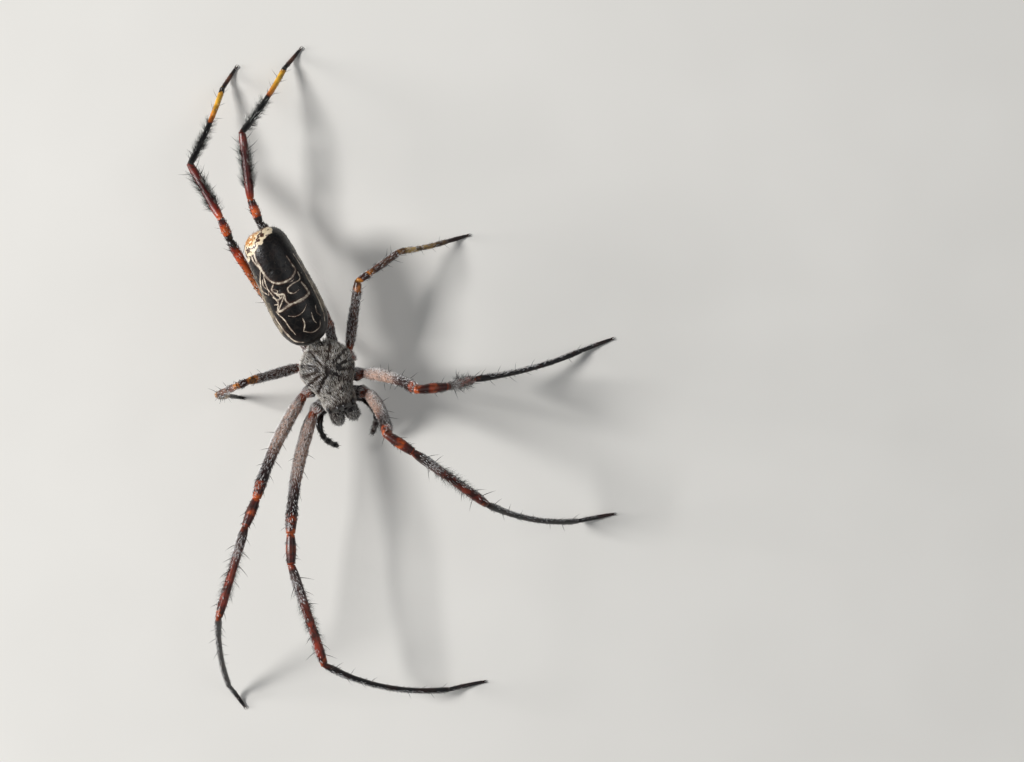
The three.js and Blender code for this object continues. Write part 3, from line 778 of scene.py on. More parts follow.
def dark_setae():
    """Stiff dark hairs with a few pale ones, glossy along their length."""
    stops = ((0.0, "#0c0908"), (0.7, "#1d1613"), (0.92, "#4a4038"), (1.0, "#a8a096"))
    return hair_of("dark leg setae", stops, 0.35)


def brush_bristles():
    """Black bristles, a share of them painted grey to near white as painted glints, which read as thin white
    lines of caught light.
    """
    stops = ((0.0, "#050505"), (0.6, "#0e100d"), (0.74, "#262a24"), (0.84, "#98a096"), (1.0, "#fafcf6"))
    return hair_of("black brush bristles", stops, 0.3)


def carapace_cuticle():
    """Hard dark carapace cuticle, faintly pitted, with a dull waxy gloss."""
    return material("carapace cuticle", mottled("#15100e", "#33251c", 1.43, 0.35, 0.65),
                    (0.154, 4.0, 0.4, 0.05), Roughness=0.4, IOR=1.5)


def sternum_cuticle():
    """Black-brown sternum cuticle with tan patches and a dull gloss."""
    return material("sternum cuticle", mottled("#2b211d", "#a88a58", 0.714, 0.5, 0.6),
                    (0.154, 4.0, 0.3, 0.05), Roughness=0.45, IOR=1.5)


def joint_skin():
    """Soft dark joint skin, finely wrinkled, which hardly shines."""
    return material("dark joint skin", mottled("#1f1815", "#4e4038", 0.455, 0.4, 0.65),
                    (0.143, 4.0, 0.5, 0.06), Roughness=0.6, IOR=1.45)


def jaw_cuticle():
    """Thick black jaw cuticle, polished, with a warm brown glow where it thins."""
    return material("jaw cuticle", mottled("#0f0b0a", "#2c1812", 0.909, 0.4, 0.75),
                    (0.125, 3.0, 0.25, 0.03), Roughness=0.22, IOR=1.54)


def claw_horn():
    """Hard dark horn, smooth and glossy, with brown patches."""
    return material("dark claw horn", mottled("#0e0a09", "#3a1c12", 0.333, 0.3, 0.8),
                    Roughness=0.2, IOR=1.54)


def spine_horn():
    """Dark stout spines of the same horn as the claws, a little duller."""
    return material("spine horn", mottled("#0e0b0a", "#2e211c", 0.25, 0.3, 0.8),
                    Roughness=0.35, IOR=1.54)


def eye_lens():
    """Clear lens over black pigment, which reads as polished black."""
    return material("eye lens", mottled("#060505", "#1a120e", 0.4, 0.3, 0.8),
                    Roughness=0.06, IOR=1.5, Coat_Weight=0.6, Coat_Roughness=0.03)


# The ivory of the abdomen's rear and its orange-brown marks, from front to back
IVORY = (
    (0.0, "#e0d0b4"), (0.16, "#d8c4a2"), (0.2, "#3a1c14"), (0.29, "#4a281a"), (0.33, "#e6d8be"),
    (0.42, "#d9bc8c"), (0.47, "#a8682e"), (0.56, "#c08848"), (0.6, "#ece0c8"), (0.74, "#dcc8a6"),
    (0.78, "#9c6838"), (0.84, "#e6d8bc"),
)


def abdomen_colour(tree):
    """A black field crossed by fine cream veins, tan flanks, and an ivory rear marked with orange-brown.

    The attribute spot is the place on the abdomen in millimetres, as (left, from its front, up),
    and vein is the distance to the nearest vein in its own half widths.
    """
    add = partial(node, tree)
    spot = add(ATTRIBUTE, out="Vector", attribute_name="spot")
    left, far, _ = add(SPLIT, spot, out=None)

    def blend(share, first, second):
        return add(MIX, {0: share, 6: first, 7: second}, **COLOURS)

    def clouds(size, detail):
        return add(NOISE, {"Vector": spot, **grain(size, detail, unit=1)})

    wobble = add(MATHS, clouds(0.625, 3.0), 0.5, operation="SUBTRACT")
    # Each vein swells and thins along its way, and is edged with brown
    fine_rags, wide_rags = clouds(0.143, 2.0), clouds(0.588, 1.0)
    ragged = add(MATHS, add(MATHS, fine_rags, 0.9, **TIMES), add(MATHS, wide_rags, 1.5, **TIMES), **PLUS)
    vein = add(MATHS, add(ATTRIBUTE, out="Fac", attribute_name="vein"), ragged, **PLUS)
    # The net of cells between the veins
    net = add(CELLS, {"Vector": spot, "Scale": 1 / 0.476, "Randomness": 0.9}, feature="DISTANCE_TO_EDGE")
    fine = add(RANGE, net, 0.1, 0.03)
    cloud = clouds(0.4545, 4.0)
    field = blend(add(RANGE, cloud, 0.5, 0.72), "#060404", "#180d0a")
    field = blend(add(MATHS, fine, 0.04, **TIMES), field, "#7a6a5c")
    field = blend(add(MATHS, add(RANGE, vein, 3.6, 2.1), 0.75, **TIMES), field, "#42271c")
    pale_vein = blend(add(RANGE, clouds(0.385, 2.0), 0.42, 0.6), "#84776a", "#cfc2ae")
    field = blend(add(RANGE, vein, 2.3, 1.75), field, pale_vein)
    wide = add(MATHS, add(MATHS, left, operation="ABSOLUTE"), add(MATHS, wobble, 1.1, **TIMES), **PLUS)
    side = blend(add(RANGE, cloud, 0.42, 0.62), "#5c4e40", "#988a72")
    side = blend(add(MATHS, fine, 0.22, **TIMES), side, "#cdbf9f")
    colour = blend(add(RANGE, wide, 1.84, 2.1), field, side)
    # The ivory of the rear reaches further forward on the right
    slant = add(MATHS, far, add(MATHS, left, 0.55, **TIMES), **PLUS)
    rear = add(MATHS, slant, add(MATHS, wobble, 1.6, **TIMES), **PLUS)
    striped = add(RANGE, add(MATHS, rear, add(MATHS, net, 0.5, **TIMES), **PLUS), 9.5, 11.5)
    return blend(add(RANGE, rear, 9.4, 9.5), colour, add(RAMP, striped, stops=IVORY))


def abdomen_cuticle():
    """Thin soft abdomen skin over pale granules, with a satin gloss."""
    return material("abdomen skin", abdomen_colour, (0.2, 4.0, 0.4, 0.05), Roughness=0.3, IOR=1.46)


def abdomen_down():
    """Short down of the abdomen, in the skin's own colours with some pale hairs, which softens its gloss."""
    stops = ((0.0, "#0c0907"), (0.8, "#1e1914"), (1.0, "#cfc4b0"))

    def colour(tree):
        pale = node(tree, RAMP, node(tree, ATTRIBUTE, out="Fac", attribute_name="tint"), stops=stops)
        return node(tree, MIX, {0: 0.4, 6: abdomen_colour(tree), 7: pale}, **COLOURS)

    return material("abdomen down", colour, Roughness=0.45, IOR=1.55)


class SpiderSettings(bpy.types.PropertyGroup):
    """The sizes and colours that a user would change."""

    hair_length: bpy.props.FloatProperty(
        name="Hair length", description="Length of the short pale hairs on the legs",
        default=0.3 * MM, min=0.05 * MM, max=MM, precision=5, unit="LENGTH")
    bristle_length: bpy.props.FloatProperty(
        name="Brush length", description="Length of the longest bristles in the legs' brushes",
        default=0.9 * MM, min=0.2 * MM, max=1.2 * MM, precision=5, unit="LENGTH")
    spine_share: bpy.props.FloatProperty(
        name="Spine length", description="Length of the spines as a share of their usual length",
        default=1.0, min=0.2, max=1.2, subtype="FACTOR")
    coat_density: bpy.props.FloatProperty(
        name="Coat density", description="Share of the full number of tufts", default=1.0, min=0.05,
        max=1.5, subtype="FACTOR")
    floor_colour: bpy.props.FloatVectorProperty(
        name="Floor colour", description="Colour of the floor", subtype="COLOR", size=4, min=0, max=1,
        default=linear("#e6e3dd"))


def settings():
    return bpy.context.scene.orb_weaver


# The skins that the coats, claws and spines need, kept as the operators make them
LEG_SKINS = {}
COATED = {}


class SPIDER_OT_legs(bpy.types.Operator):
    """Makes the eight legs, each one skin from hip to foot"""

    bl_idname = "orb_weaver.legs"
    bl_label = "Legs"

    def execute(self, context):
        for side in SIDES:
            for pair in PAIRS:
                pieces, points, faces, uv, reach, ways, flank = leg_shape(side, pair)
                rear = flank if side == "left" else -flank
                shape = Shape()
                draw = np.random.default_rng(10 * pair + (side == "left"))
                shape.add(points, faces, uv, reach=reach, lie=ways, **leg_masks(pair, reach, rear, draw))
                piece = shape.build(f"leg_{pair}_{side}")
                nodes = [f"leg_{pair}_{side}_{name}" for name in PIECES]
                finish_piece(piece, "femur", leg_cuticle(pair), nodes)
                LEG_SKINS[pair, side] = (piece, pieces)
        return {"FINISHED"}


def band(reach, low, high, soft=0.04):
    """1 between two reaches along a leg, with soft ends."""
    return np.minimum(np.clip((reach - low) / soft, 0, 1), np.clip((high - reach) / soft, 0, 1))


def leg_masks(pair, reach, rear, draw):
    """Where each kind of hair grows on a leg, from 0 to 1, and how tall it is beside the rest.

    The value for the rear is 1 on the side of the leg that faces the spider's rear, and -1 on the other.
    """
    open_skin = between(np.abs(reach - np.round(reach)), 0.012, 0.032)
    sides = between(np.abs(rear), 0.35, 0.85)
    if pair in (1, 2):
        # The silvery coat is thick on the rear side and thin on the other, and on the tibia's end and the
        # metatarsus it grows on the rear side alone. This is partly painted highlight: the rear side faces
        # the key light, and the extra pale hair there stands in for its lit edge.
        pale = (np.clip(0.75 + 0.8 * rear, 0.12, 1.4) * (
                    1.9 * band(reach, 0.2, 1.7, 0.1) + 0.7 * band(reach, 1.6, 2.0)
                    + 1.6 * band(reach, 3.04, 3.42, 0.12))
                + np.clip(1.5 * rear - 0.1, 0.0, 1.3) * (
                    0.8 * band(reach, 3.4, 4.0) + 2.1 * band(reach, 4.02, 5.6, 0.1)))
        dark = (0.25 * band(reach, 1.0, 1.6) + band(reach, 1.6, 1.9) + 0.4 * band(reach, 2.05, 3.0)
                + 0.35 * band(reach, 3.3, 3.93) + 0.8 * band(reach, 4.0, 6.0))
        brush = band(reach, 3.2, 3.92, 0.3) * sides
    elif pair == 3:
        pale = band(reach, 0.2, 1.9, 0.1) + 0.5 * band(reach, 2.1, 4.9, 0.1)
        dark = 0.4 * band(reach, 1.0, 6.0) + 0.4 * band(reach, 5.0, 6.0)
        brush = 0 * reach
    else:
        pale = band(reach, 0.2, 1.5, 0.1) + 0.2 * band(reach, 1.5, 3.0) + 0.08 * band(reach, 4.6, 5.0)
        dark = (0.2 * band(reach, 1.0, 1.7) + 0.5 * band(reach, 1.9, 3.0) + 0.25 * band(reach, 4.6, 5.0)
                + 0.8 * band(reach, 5.0, 6.0))
        brush = (band(reach, 3.1, 3.86, 0.16) * (0.14 + 0.86 * sides)
                 + band(reach, 4.03, 4.58, 0.18) * (0.3 + 0.7 * sides))
    patchy = draw.uniform(0.2, 1.8, len(reach))
    stature = smooth_through((0, 3, 4.0, 4.5, 5.0, 5.4, 6.1), (1, 1, 0.95, 0.8, 0.65, 0.5, 0.4), reach)
    if pair == 4:
        stature = np.where(reach < 4.6, 1.0, stature)
    return {
        "pale": pale * open_skin * patchy, "dark": dark * open_skin, "brush": brush * open_skin,
        "stature": stature,
    }


# Coats of the legs. The silvery coat's length, and the brushes' own, come from the settings: a brush
# has its share of it.
LEG_HAIR = dict(
    density=44.0, thickness=0.055, spread=0.7, lean=20.0, unruly=0.25, bend=0.15, steps=2)
LEG_SETAE = dict(
    density=26.0, length=0.36, thickness=0.04, spread=0.7, lean=32.0, sway=14.0, unruly=0.3, bend=0.2,
    steps=2, shortest=0.4)
BRUSH = dict(spread=0.6, sway=18.0, unruly=0.5, bend=0.2, shortest=0.35)
FRONT_BRUSH = dict(density=42.0, length=0.8, thickness=0.013, lean=58.0, **BRUSH)
HIND_BRUSH = dict(density=62.0, length=0.95, thickness=0.018, lean=46.0, **BRUSH)
BRUSHES = {1: FRONT_BRUSH, 2: FRONT_BRUSH, 4: HIND_BRUSH}


class SPIDER_OT_leg_coat(bpy.types.Operator):
    """Grows the hair, the dark setae and the brushes of bristles on the legs"""

    bl_idname = "orb_weaver.leg_coat"
    bl_label = "Leg coat"

    def execute(self, context):
        chosen = settings()
        for (pair, _), (skin, _) in LEG_SKINS.items():
            seed = seed_of(skin.name)
            grow_coat(f"{skin.name}_hair", skin, silvery_hair(pair), "hair_pale", mask="pale", seed=seed,
                      length=chosen.hair_length / MM, **LEG_HAIR)
            grow_coat(f"{skin.name}_setae", skin, dark_setae(), "bristle_dark", mask="dark", seed=seed + 1,
                      **LEG_SETAE)
            if pair in BRUSHES:
                brush = dict(BRUSHES[pair])
                brush["length"] *= chosen.bristle_length / MM
                grow_coat(f"{skin.name}_brush", skin, brush_bristles(), "bristle_dark", mask="brush",
                          seed=seed + 2, **brush)
        return {"FINISHED"}


# Body

CARAPACE_LENGTH = 5.8
CARAPACE_WIDTH = 4.4
CARAPACE_BASE = 5.5
CARAPACE_RISE = 1.7
HEAD_WIDTH = 2.7
# The face is rounded off by this many rings in front of the carapace's first row, this far out
FACE_ROWS = 10
FACE_BULGE = 0.12
FOVEA = (0.0, 0.46)
HORN = (0.5, -1.2)
# The furrows that fan out from the pit, by where they end
FURROWS = ((2.0, -0.25), (2.1, 0.6), (1.8, 1.5), (0.8, 2.3))
EYE_CLEARING = 0.19
# An eye's rim and lens, as the distance from its root and the radius
EYE_RIM = [(-0.06, 0.12), (-0.02, 0.185), (0.03, 0.2), (0.055, 0.185), (0.06, 0.16)]
EYE_LENS = [(0.06 + 0.1 * math.sin(t), 0.158 * math.cos(t)) for t in np.linspace(0.15, 1.5, 9)]
EYE_SHARE = 0.86
STERNUM_LENGTH = 4.1
STERNUM_FRONT = -1.85
STERNUM_WIDTH = 1.9
STERNUM_BOTTOM = 3.9
ABDOMEN_LENGTH = 10.2
ABDOMEN_WIDTH = 4.6
ABDOMEN_HEIGHT = 3.9
ABDOMEN_FRONT = np.array([-0.3, 3.0, 6.8])
ABDOMEN_HEADING = 96
ABDOMEN_PITCH = 8
# The skins of the body lie just inside the solids
INSET = 0.985


def lump(x, y, at, size):
    """A soft round rise, 1 at its middle."""
    return np.exp(-((x - at[0]) ** 2 + (y - at[1]) ** 2) / size**2)


def crease(x, y, start, end, width):
    """A soft groove along a line, 1 along its middle."""
    start, end = np.array(start), np.array(end)
    line = end - start
    t = np.clip(((x - start[0]) * line[0] + (y - start[1]) * line[1]) / (line @ line), 0, 1)
    away = np.hypot(x - start[0] - t * line[0], y - start[1] - t * line[1])
    return np.exp(-((away / width) ** 2))


def furrows(x, y, share, width):
    """The furrows of one half, each from a share of its way out of the pit."""
    total = 0
    for end in FURROWS:
        start = (FOVEA[0] + share * end[0], FOVEA[1] + share * (end[1] - FOVEA[1]))
        total = total + crease(x, y, start, end, width)
    return total


def carapace_relief(x, y):
    """Height of the horns, pit and grooves over the smooth dome, in millimetres."""
    ax = np.abs(x)
    pit = crease(x, y, (0, FOVEA[1] - 0.12), (0, FOVEA[1] + 0.12), 0.2)
    groove = crease(ax, y, (0.12, 0.1), (1.25, -1.0), 0.16)
    return 0.3 * lump(ax, y, HORN, 0.17) - 0.22 * pit - 0.16 * groove - 0.09 * furrows(ax, y, 0.3, 0.13)


def carapace_shape(rows=110, sides=128):
    head, chest = HEAD_WIDTH / 2, CARAPACE_WIDTH / 2
    # Share of the length, half width and share of the rise
    stations = np.array([
        (0.0, head * 0.72, 0.62), (0.03, head * 0.9, 0.84), (0.1, head, 1.0), (0.2, head * 1.03, 1.04),
        (0.29, head * 1.12, 0.98), (0.37, chest * 0.78, 0.84), (0.46, chest * 0.92, 0.82),
        (0.56, chest, 0.88), (0.67, chest, 0.88), (0.78, chest * 0.92, 0.8), (0.88, chest * 0.72, 0.64),
        (0.95, chest * 0.5, 0.46), (1.0, chest * 0.3, 0.3),
    ])
    share = np.linspace(0, 1, rows)
    share = np.clip(share - 0.04 * np.sin(2 * math.pi * share) / math.pi, 0, 1)
    widths = smooth_through(stations[:, 0], stations[:, 1], share) * INSET
    rises = smooth_through(stations[:, 0], stations[:, 2], share)
    turn = angles(sides)
    c, s = np.cos(turn), np.sin(turn)
    x = -c[None, :] * widths[:, None]
    y = np.repeat((-CARAPACE_LENGTH / 2 + share * CARAPACE_LENGTH)[:, None], sides, 1)
    dome = np.where(s > 0, np.abs(s) ** 0.85, 0)[None, :] * rises[:, None] * CARAPACE_RISE
    z = CARAPACE_BASE + 0.14 + dome + np.where(s > 0, 0, s * 0.12)[None, :]
    z = z + carapace_relief(x, y) * np.clip(dome / 0.8, 0, 1)
    body = np.stack([x, y, z], 2)
    # The rings of the face get smaller and smaller towards the front
    middle = body[0].mean(0)
    face = [
        middle + (body[0] - middle) * k - (0, FACE_BULGE * (1 - k**2), 0)
        for k in np.linspace(0.06, 0.94, FACE_ROWS)
    ]
    points = np.concatenate([*face, body.reshape(-1, 3)])
    along = np.repeat(np.concatenate([np.linspace(-0.1, -0.01, FACE_ROWS), share]), sides)
    around = np.tile(turn / (2 * math.pi), rows + FACE_ROWS)
    uv = np.stack([0.12 + 0.86 * along, 0.02 + 0.96 * around], 1)
    return points, grid_faces(rows + FACE_ROWS, sides), uv


def eye_places():
    """The middle of each of the eight eyes, and the way it looks."""
    top, front = CARAPACE_BASE + CARAPACE_RISE, -CARAPACE_LENGTH / 2
    places = (
        ((0.26, front - 0.04, top - 0.62), (0.25, -1, 0.15)),
        ((0.28, front + 0.24, top - 0.12), (0.25, -0.55, 1)),
        ((0.98, front + 0.16, top - 0.72), (0.8, -1, 0.1)),
        ((1.06, front + 0.4, top - 0.5), (1, -0.35, 0.7)),
    )
    for (x, y, z), (a, b, c) in places:
        for way in (1, -1):
            yield np.array([x * way, y, z]), unit(np.array([a * way, b, c]))


def lathe(centre, axis, profile, sides):
    """A closed turned form: (distance along the axis, radius) from its root to its tip."""
    side, up = ring_frame(axis, (0, 0, 1) if abs(axis[2]) < 0.9 else (1, 0, 0))
    out = circle(angles(sides), side, up)
    rings = [centre + axis * along + out * radius for along, radius in profile]
    return np.concatenate(rings), grid_faces(len(profile), sides)


def rounded(v):
    """Fills a round section out towards a square one."""
    return np.sign(v) * np.abs(v) ** 0.6


def sternum_shape(rows=40, sides=48):
    half = STERNUM_WIDTH / 2
    top = CARAPACE_BASE - GAP
    # Share of the length, half width and share of the depth
    stations = np.array([
        (0.0, half * 0.62, 0.55), (0.06, half * 0.82, 0.85), (0.25, half * 0.95, 1.0), (0.5, half, 1.0),
        (0.72, half * 0.82, 0.96), (0.9, half * 0.4, 0.85), (1.0, half * 0.2, 0.6),
    ])
    share = np.linspace(0, 1, rows)
    widths = smooth_through(stations[:, 0], stations[:, 1], share) * 0.98
    depths = smooth_through(stations[:, 0], stations[:, 2], share) * (top - STERNUM_BOTTOM)
    turn = angles(sides)
    notch = np.abs(np.sin(np.clip(share, 0, 0.95) * math.pi * 4.2))[:, None]
    x = rounded(np.cos(turn))[None, :] * widths[:, None] * (1 - 0.05 * notch)
    y = np.repeat((STERNUM_FRONT + share * STERNUM_LENGTH)[:, None], sides, 1)
    z = (top - depths / 2)[:, None] - rounded(np.sin(turn))[None, :] * depths[:, None] / 2 * 0.98
    points = np.stack([x, y, z], 2).reshape(-1, 3)
    return points, grid_faces(rows, sides), unrolled(share, turn)


def unrolled(share, turn):
    """A body form unrolled onto the unit square, by its share of the length and its turn."""
    u = 0.02 + 0.96 * np.repeat(share, len(turn))
    return np.stack([u, 0.02 + 0.96 * np.tile(turn / (2 * math.pi), len(share))], 1)


def hip_skin_shape(rows=30, sides=48):
    """Soft skin that fills the space between the carapace's rim, the hips and the sternum."""
    share = np.linspace(0, 1, rows)
    width = smooth_through((0, 0.12, 0.35, 0.6, 0.85, 1), (0.3, 0.95, 1.4, 1.7, 1.1, 0.25), share)
    height = 0.55 * np.sin(math.pi * np.clip(share, 0.06, 0.94)) ** 0.5
    turn = angles(sides)
    x = -np.cos(turn)[None, :] * width[:, None]
    y = np.repeat((-2.45 + 5.1 * share)[:, None], sides, 1)
    z = 5.1 + np.sin(turn)[None, :] * height[:, None]
    return np.stack([x, y, z], 2).reshape(-1, 3), grid_faces(rows, sides)


def abdomen_frame():
    along = direction(ABDOMEN_HEADING, ABDOMEN_PITCH)
    heading = math.radians(ABDOMEN_HEADING)
    side = np.array([-math.sin(heading), math.cos(heading), 0.0])
    return along, side, np.cross(along, side)


def abdomen_swell(s):
    """The abdomen's half width at a share of its length, as a share of its widest."""
    front = (1 - np.abs(2 * np.minimum(s, 0.5) - 1) ** 3.2) ** 0.42
    rear = (1 - np.abs(2 * np.maximum(s, 0.5) - 1) ** 8) ** 0.38
    return front * rear * (1.07 - 0.27 * s)


# The paired dents of the abdomen's back, by share of its length and distance from the middle
SIGILLA = ((0.2, 0.62), (0.36, 0.72), (0.52, 0.66), (0.68, 0.55))
SIGILLA_DEPTH = 0.035
SIGILLA_SIZE = 0.13
VEIN_RISE = 0.02

# Cream veins on the abdomen: half width, then places as distance from its front and distance to the left
VEINS = (
    (0.085, ((7.5, 1.15), (6.7, 1.25), (6.2, 1.3), (5.85, 0.95), (5.7, 0.45), (5.75, -0.1), (6.0, -0.7),
             (6.6, -1.05), (7.7, -1.2), (8.5, -1.2), (9.1, -0.9), (9.5, -0.1), (9.7, 0.6))),
    (0.055, ((5.95, 1.4), (5.35, 1.3), (5.3, 0.65), (5.15, 0.1), (4.8, 0.05), (4.55, 0.4), (4.65, 0.9))),
    (0.1, ((5.1, 1.3), (4.3, 1.45), (3.95, 1.4), (3.8, 0.7), (3.85, -0.4), (3.7, -1.1), (3.75, -1.6))),
    (0.08, ((3.85, -0.3), (4.3, -0.5), (4.8, -0.4), (5.0, -0.8), (5.5, -1.15), (6.0, -0.75))),
    (0.05, ((7.4, -1.25), (6.7, -1.6), (5.9, -1.9), (5.5, -1.75), (5.2, -1.5))),
    (0.05, ((7.1, -1.1), (6.6, -1.3), (5.9, -1.4), (5.2, -1.3), (4.4, -1.15), (3.8, -1.5))),
    (0.06, ((4.7, -0.45), (4.2, -0.95), (3.75, -1.5))),
    (0.05, ((2.4, 0.1), (1.9, 0.05), (1.4, -0.3))),
    (0.04, ((2.5, 0.95), (1.9, 0.85), (1.5, 0.95))),
    (0.04, ((3.3, 0.9), (2.9, 0.4), (2.8, -0.3), (3.1, -0.9))),
    (0.05, ((1.4, -0.3), (1.0, 0.3), (1.1, 1.0), (1.6, 1.3))),
    (0.06, ((9.8, -1.05), (9.0, -1.35), (8.3, -1.45), (7.4, -1.25))),
    (0.06, ((3.6, -1.9), (2.5, -1.8), (1.6, -1.6), (0.9, -1.3), (0.5, -0.7))),
    (0.05, ((3.7, -1.6), (2.9, -1.3), (2.2, -1.2), (1.4, -1.0))),
    (0.045, ((7.4, 1.7), (6.0, 1.84), (4.6, 1.9), (3.2, 1.9), (2.1, 1.82), (1.3, 1.6))),
    (0.05, ((5.6, -1.1), (5.3, -0.75), (5.05, -0.95), (4.75, -0.8), (4.6, -1.0))),
    (0.05, ((4.95, -1.35), (4.6, -1.0), (4.72, -0.6))),
    (0.045, ((4.35, -1.5), (4.3, -1.2), (4.6, -1.0))),
    (0.045, ((6.6, -1.45), (6.1, -1.62), (5.6, -1.4), (5.2, -1.6))),
    (0.04, ((5.6, 0.9), (5.5, 0.6), (5.6, 0.3))),
    (0.04, ((2.9, 1.5), (2.3, 1.35), (1.9, 1.5))),
)
# The distance from a vein that is as good as none, in its half widths
FAR_FROM_VEINS = 9.0


def vein_distance(left, far):
    """Distance to the nearest vein, in the vein's own half widths."""
    nearest = np.full(left.shape, FAR_FROM_VEINS)
    for half, stops in VEINS:
        stops = np.array(stops)
        at = np.linspace(0, len(stops) - 1, 8 * len(stops))
        path = np.stack([smooth_through(np.arange(len(stops)), stops[:, k], at) for k in (0, 1)], 1)
        taper = 0.35 + 0.65 * np.sin(math.pi * (at[:-1] + at[1:]) / 2 / at[-1]) ** 0.5
        for (far_a, left_a), (far_b, left_b), share in zip(path[:-1], path[1:], taper):
            run, rise = far_b - far_a, left_b - left_a
            t = np.clip(((far - far_a) * run + (left - left_a) * rise) / (run**2 + rise**2 + 1e-9), 0, 1)
            away = np.hypot(far - far_a - t * run, left - left_a - t * rise)
            nearest = np.minimum(nearest, away / (half * share))
    return nearest


def abdomen_shape(rows=220, sides=200):
    along, side, up = abdomen_frame()
    # Rows crowd towards both ends, where the form closes
    crowded = (1 - np.cos(np.linspace(0, math.pi, rows))) / 2
    share = 0.003 + 0.994 * (0.6 * np.linspace(0, 1, rows) + 0.4 * crowded)
    swell = abdomen_swell(share) * INSET
    turn = angles(sides)
    c, s = np.cos(turn), np.sin(turn)
    across = c[None, :] * (swell * ABDOMEN_WIDTH / 2)[:, None]
    high = s[None, :] * (swell * ABDOMEN_HEIGHT / 2)[:, None] + (0.12 * np.sin(math.pi * share))[:, None]
    far = np.repeat((share * ABDOMEN_LENGTH)[:, None], sides, 1)
    vein = np.where(s[None, :] > -0.2, vein_distance(-across, far), FAR_FROM_VEINS)
    dent = -VEIN_RISE * np.exp(-(vein**2) / 2)
    for at, apart in SIGILLA:
        pit = lump(np.abs(across), far, (apart, at * ABDOMEN_LENGTH), SIGILLA_SIZE)
        dent += SIGILLA_DEPTH * pit * (s[None, :] > 0)
    # The flanks are faintly pleated
    pleats = np.sin(far * 5.2 + 2.2 * np.cos(turn * 2)[None, :])
    ripple = 0.018 * pleats * np.clip(np.abs(c) - 0.3, 0, 1)[None, :]
    shrink = 1 - ripple / (ABDOMEN_WIDTH / 2) * swell[:, None]
    across, high = across * shrink, (high - dent) * shrink
    points = ABDOMEN_FRONT + along * far[..., None] + side * across[..., None] + up * high[..., None]
    spot = np.stack([across, far, high], 2).reshape(-1, 3)
    return points.reshape(-1, 3), grid_faces(rows, sides), unrolled(share, turn), spot, vein.ravel()


# Paths of the small parts, on the left where they come in pairs, and their swellings: stations,
# half thicknesses there and the number of rows
LOWER_LIP_PATH = ((0, -2.15, 4.3), (0, -2.4, 4.2), (0, -2.6, 4.05))
LOWER_LIP_SWELLING = ((0, 0.3, 0.7, 1), (0.2, 0.33, 0.33, 0.16), 18)
LOBE_PATH = ((0.85, -2.4, 4.15), (0.5, -2.45, 4.1), (0.12, -2.5, 4.05))
LOBE_SWELLING = ((0, 0.3, 0.7, 1), (0.16, 0.27, 0.27, 0.14), 18)
PEDICEL_PATH = ((0, 2.3, 4.95), (0, 2.7, 4.9), (-0.05, 3.1, 4.95), (-0.1, 3.55, 5.15), (-0.2, 4.0, 5.75))
PEDICEL_SWELLING = ((0, 0.4, 0.8, 1), (0.3, 0.26, 0.36, 0.3), 28)
JAW_PATH = ((0.58, -2.5, 5.85), (0.61, -2.95, 5.3), (0.64, -3.4, 4.4), (0.64, -3.56, 3.3), (0.6, -3.5, 2.6))
JAW_SWELLING = (
    (0, 0.1, 0.3, 0.5, 0.68, 0.85, 0.95, 1), (0.42, 0.56, 0.62, 0.61, 0.56, 0.47, 0.34, 0.14), 54)
FANG_PATH = ((0.64, -3.55, 2.8), (0.58, -3.35, 2.42), (0.36, -3.0, 2.3))
FANG_SWELLING = ((0, 0.4, 0.8, 1), (0.19, 0.16, 0.09, 0.03), 24)
PALP_PATH = (
    (0.72, -2.4, 4.12), (1.32, -2.4, 3.84), (1.8, -2.7, 3.65), (2.25, -3.3, 3.75), (2.32, -4.3, 3.6),
    (1.95, -5.1, 2.8), (1.45, -5.6, 2.1),
)
PALP_SWELLING = (
    (0, 0.14, 0.2, 0.23, 0.28, 0.5, 0.55, 0.57, 0.62, 0.67, 0.69, 0.73, 0.82, 0.84, 0.91, 0.97, 1.0),
    (0.24, 0.25, 0.23, 0.19, 0.25, 0.24, 0.19, 0.23, 0.26, 0.2, 0.21, 0.27, 0.22, 0.2, 0.24, 0.17, 0.07),
    84,
)
# The spinnerets' mound, then each pair of cones: share of the abdomen's length, distance from the
# middle, length and half thickness
MOUND_SWELLING = ((0, 0.6, 1), (0.56, 0.5, 0.3), 16)
SPINNERETS = ((0.83, 0.24, 0.5, 0.2), (0.862, 0.16, 0.4, 0.13), (0.885, 0.24, 0.5, 0.2))
SPINNERET_FORM = ((0, 0.5, 0.55, 0.85, 1), np.array((1, 0.92, 0.8, 0.62, 0.3)))


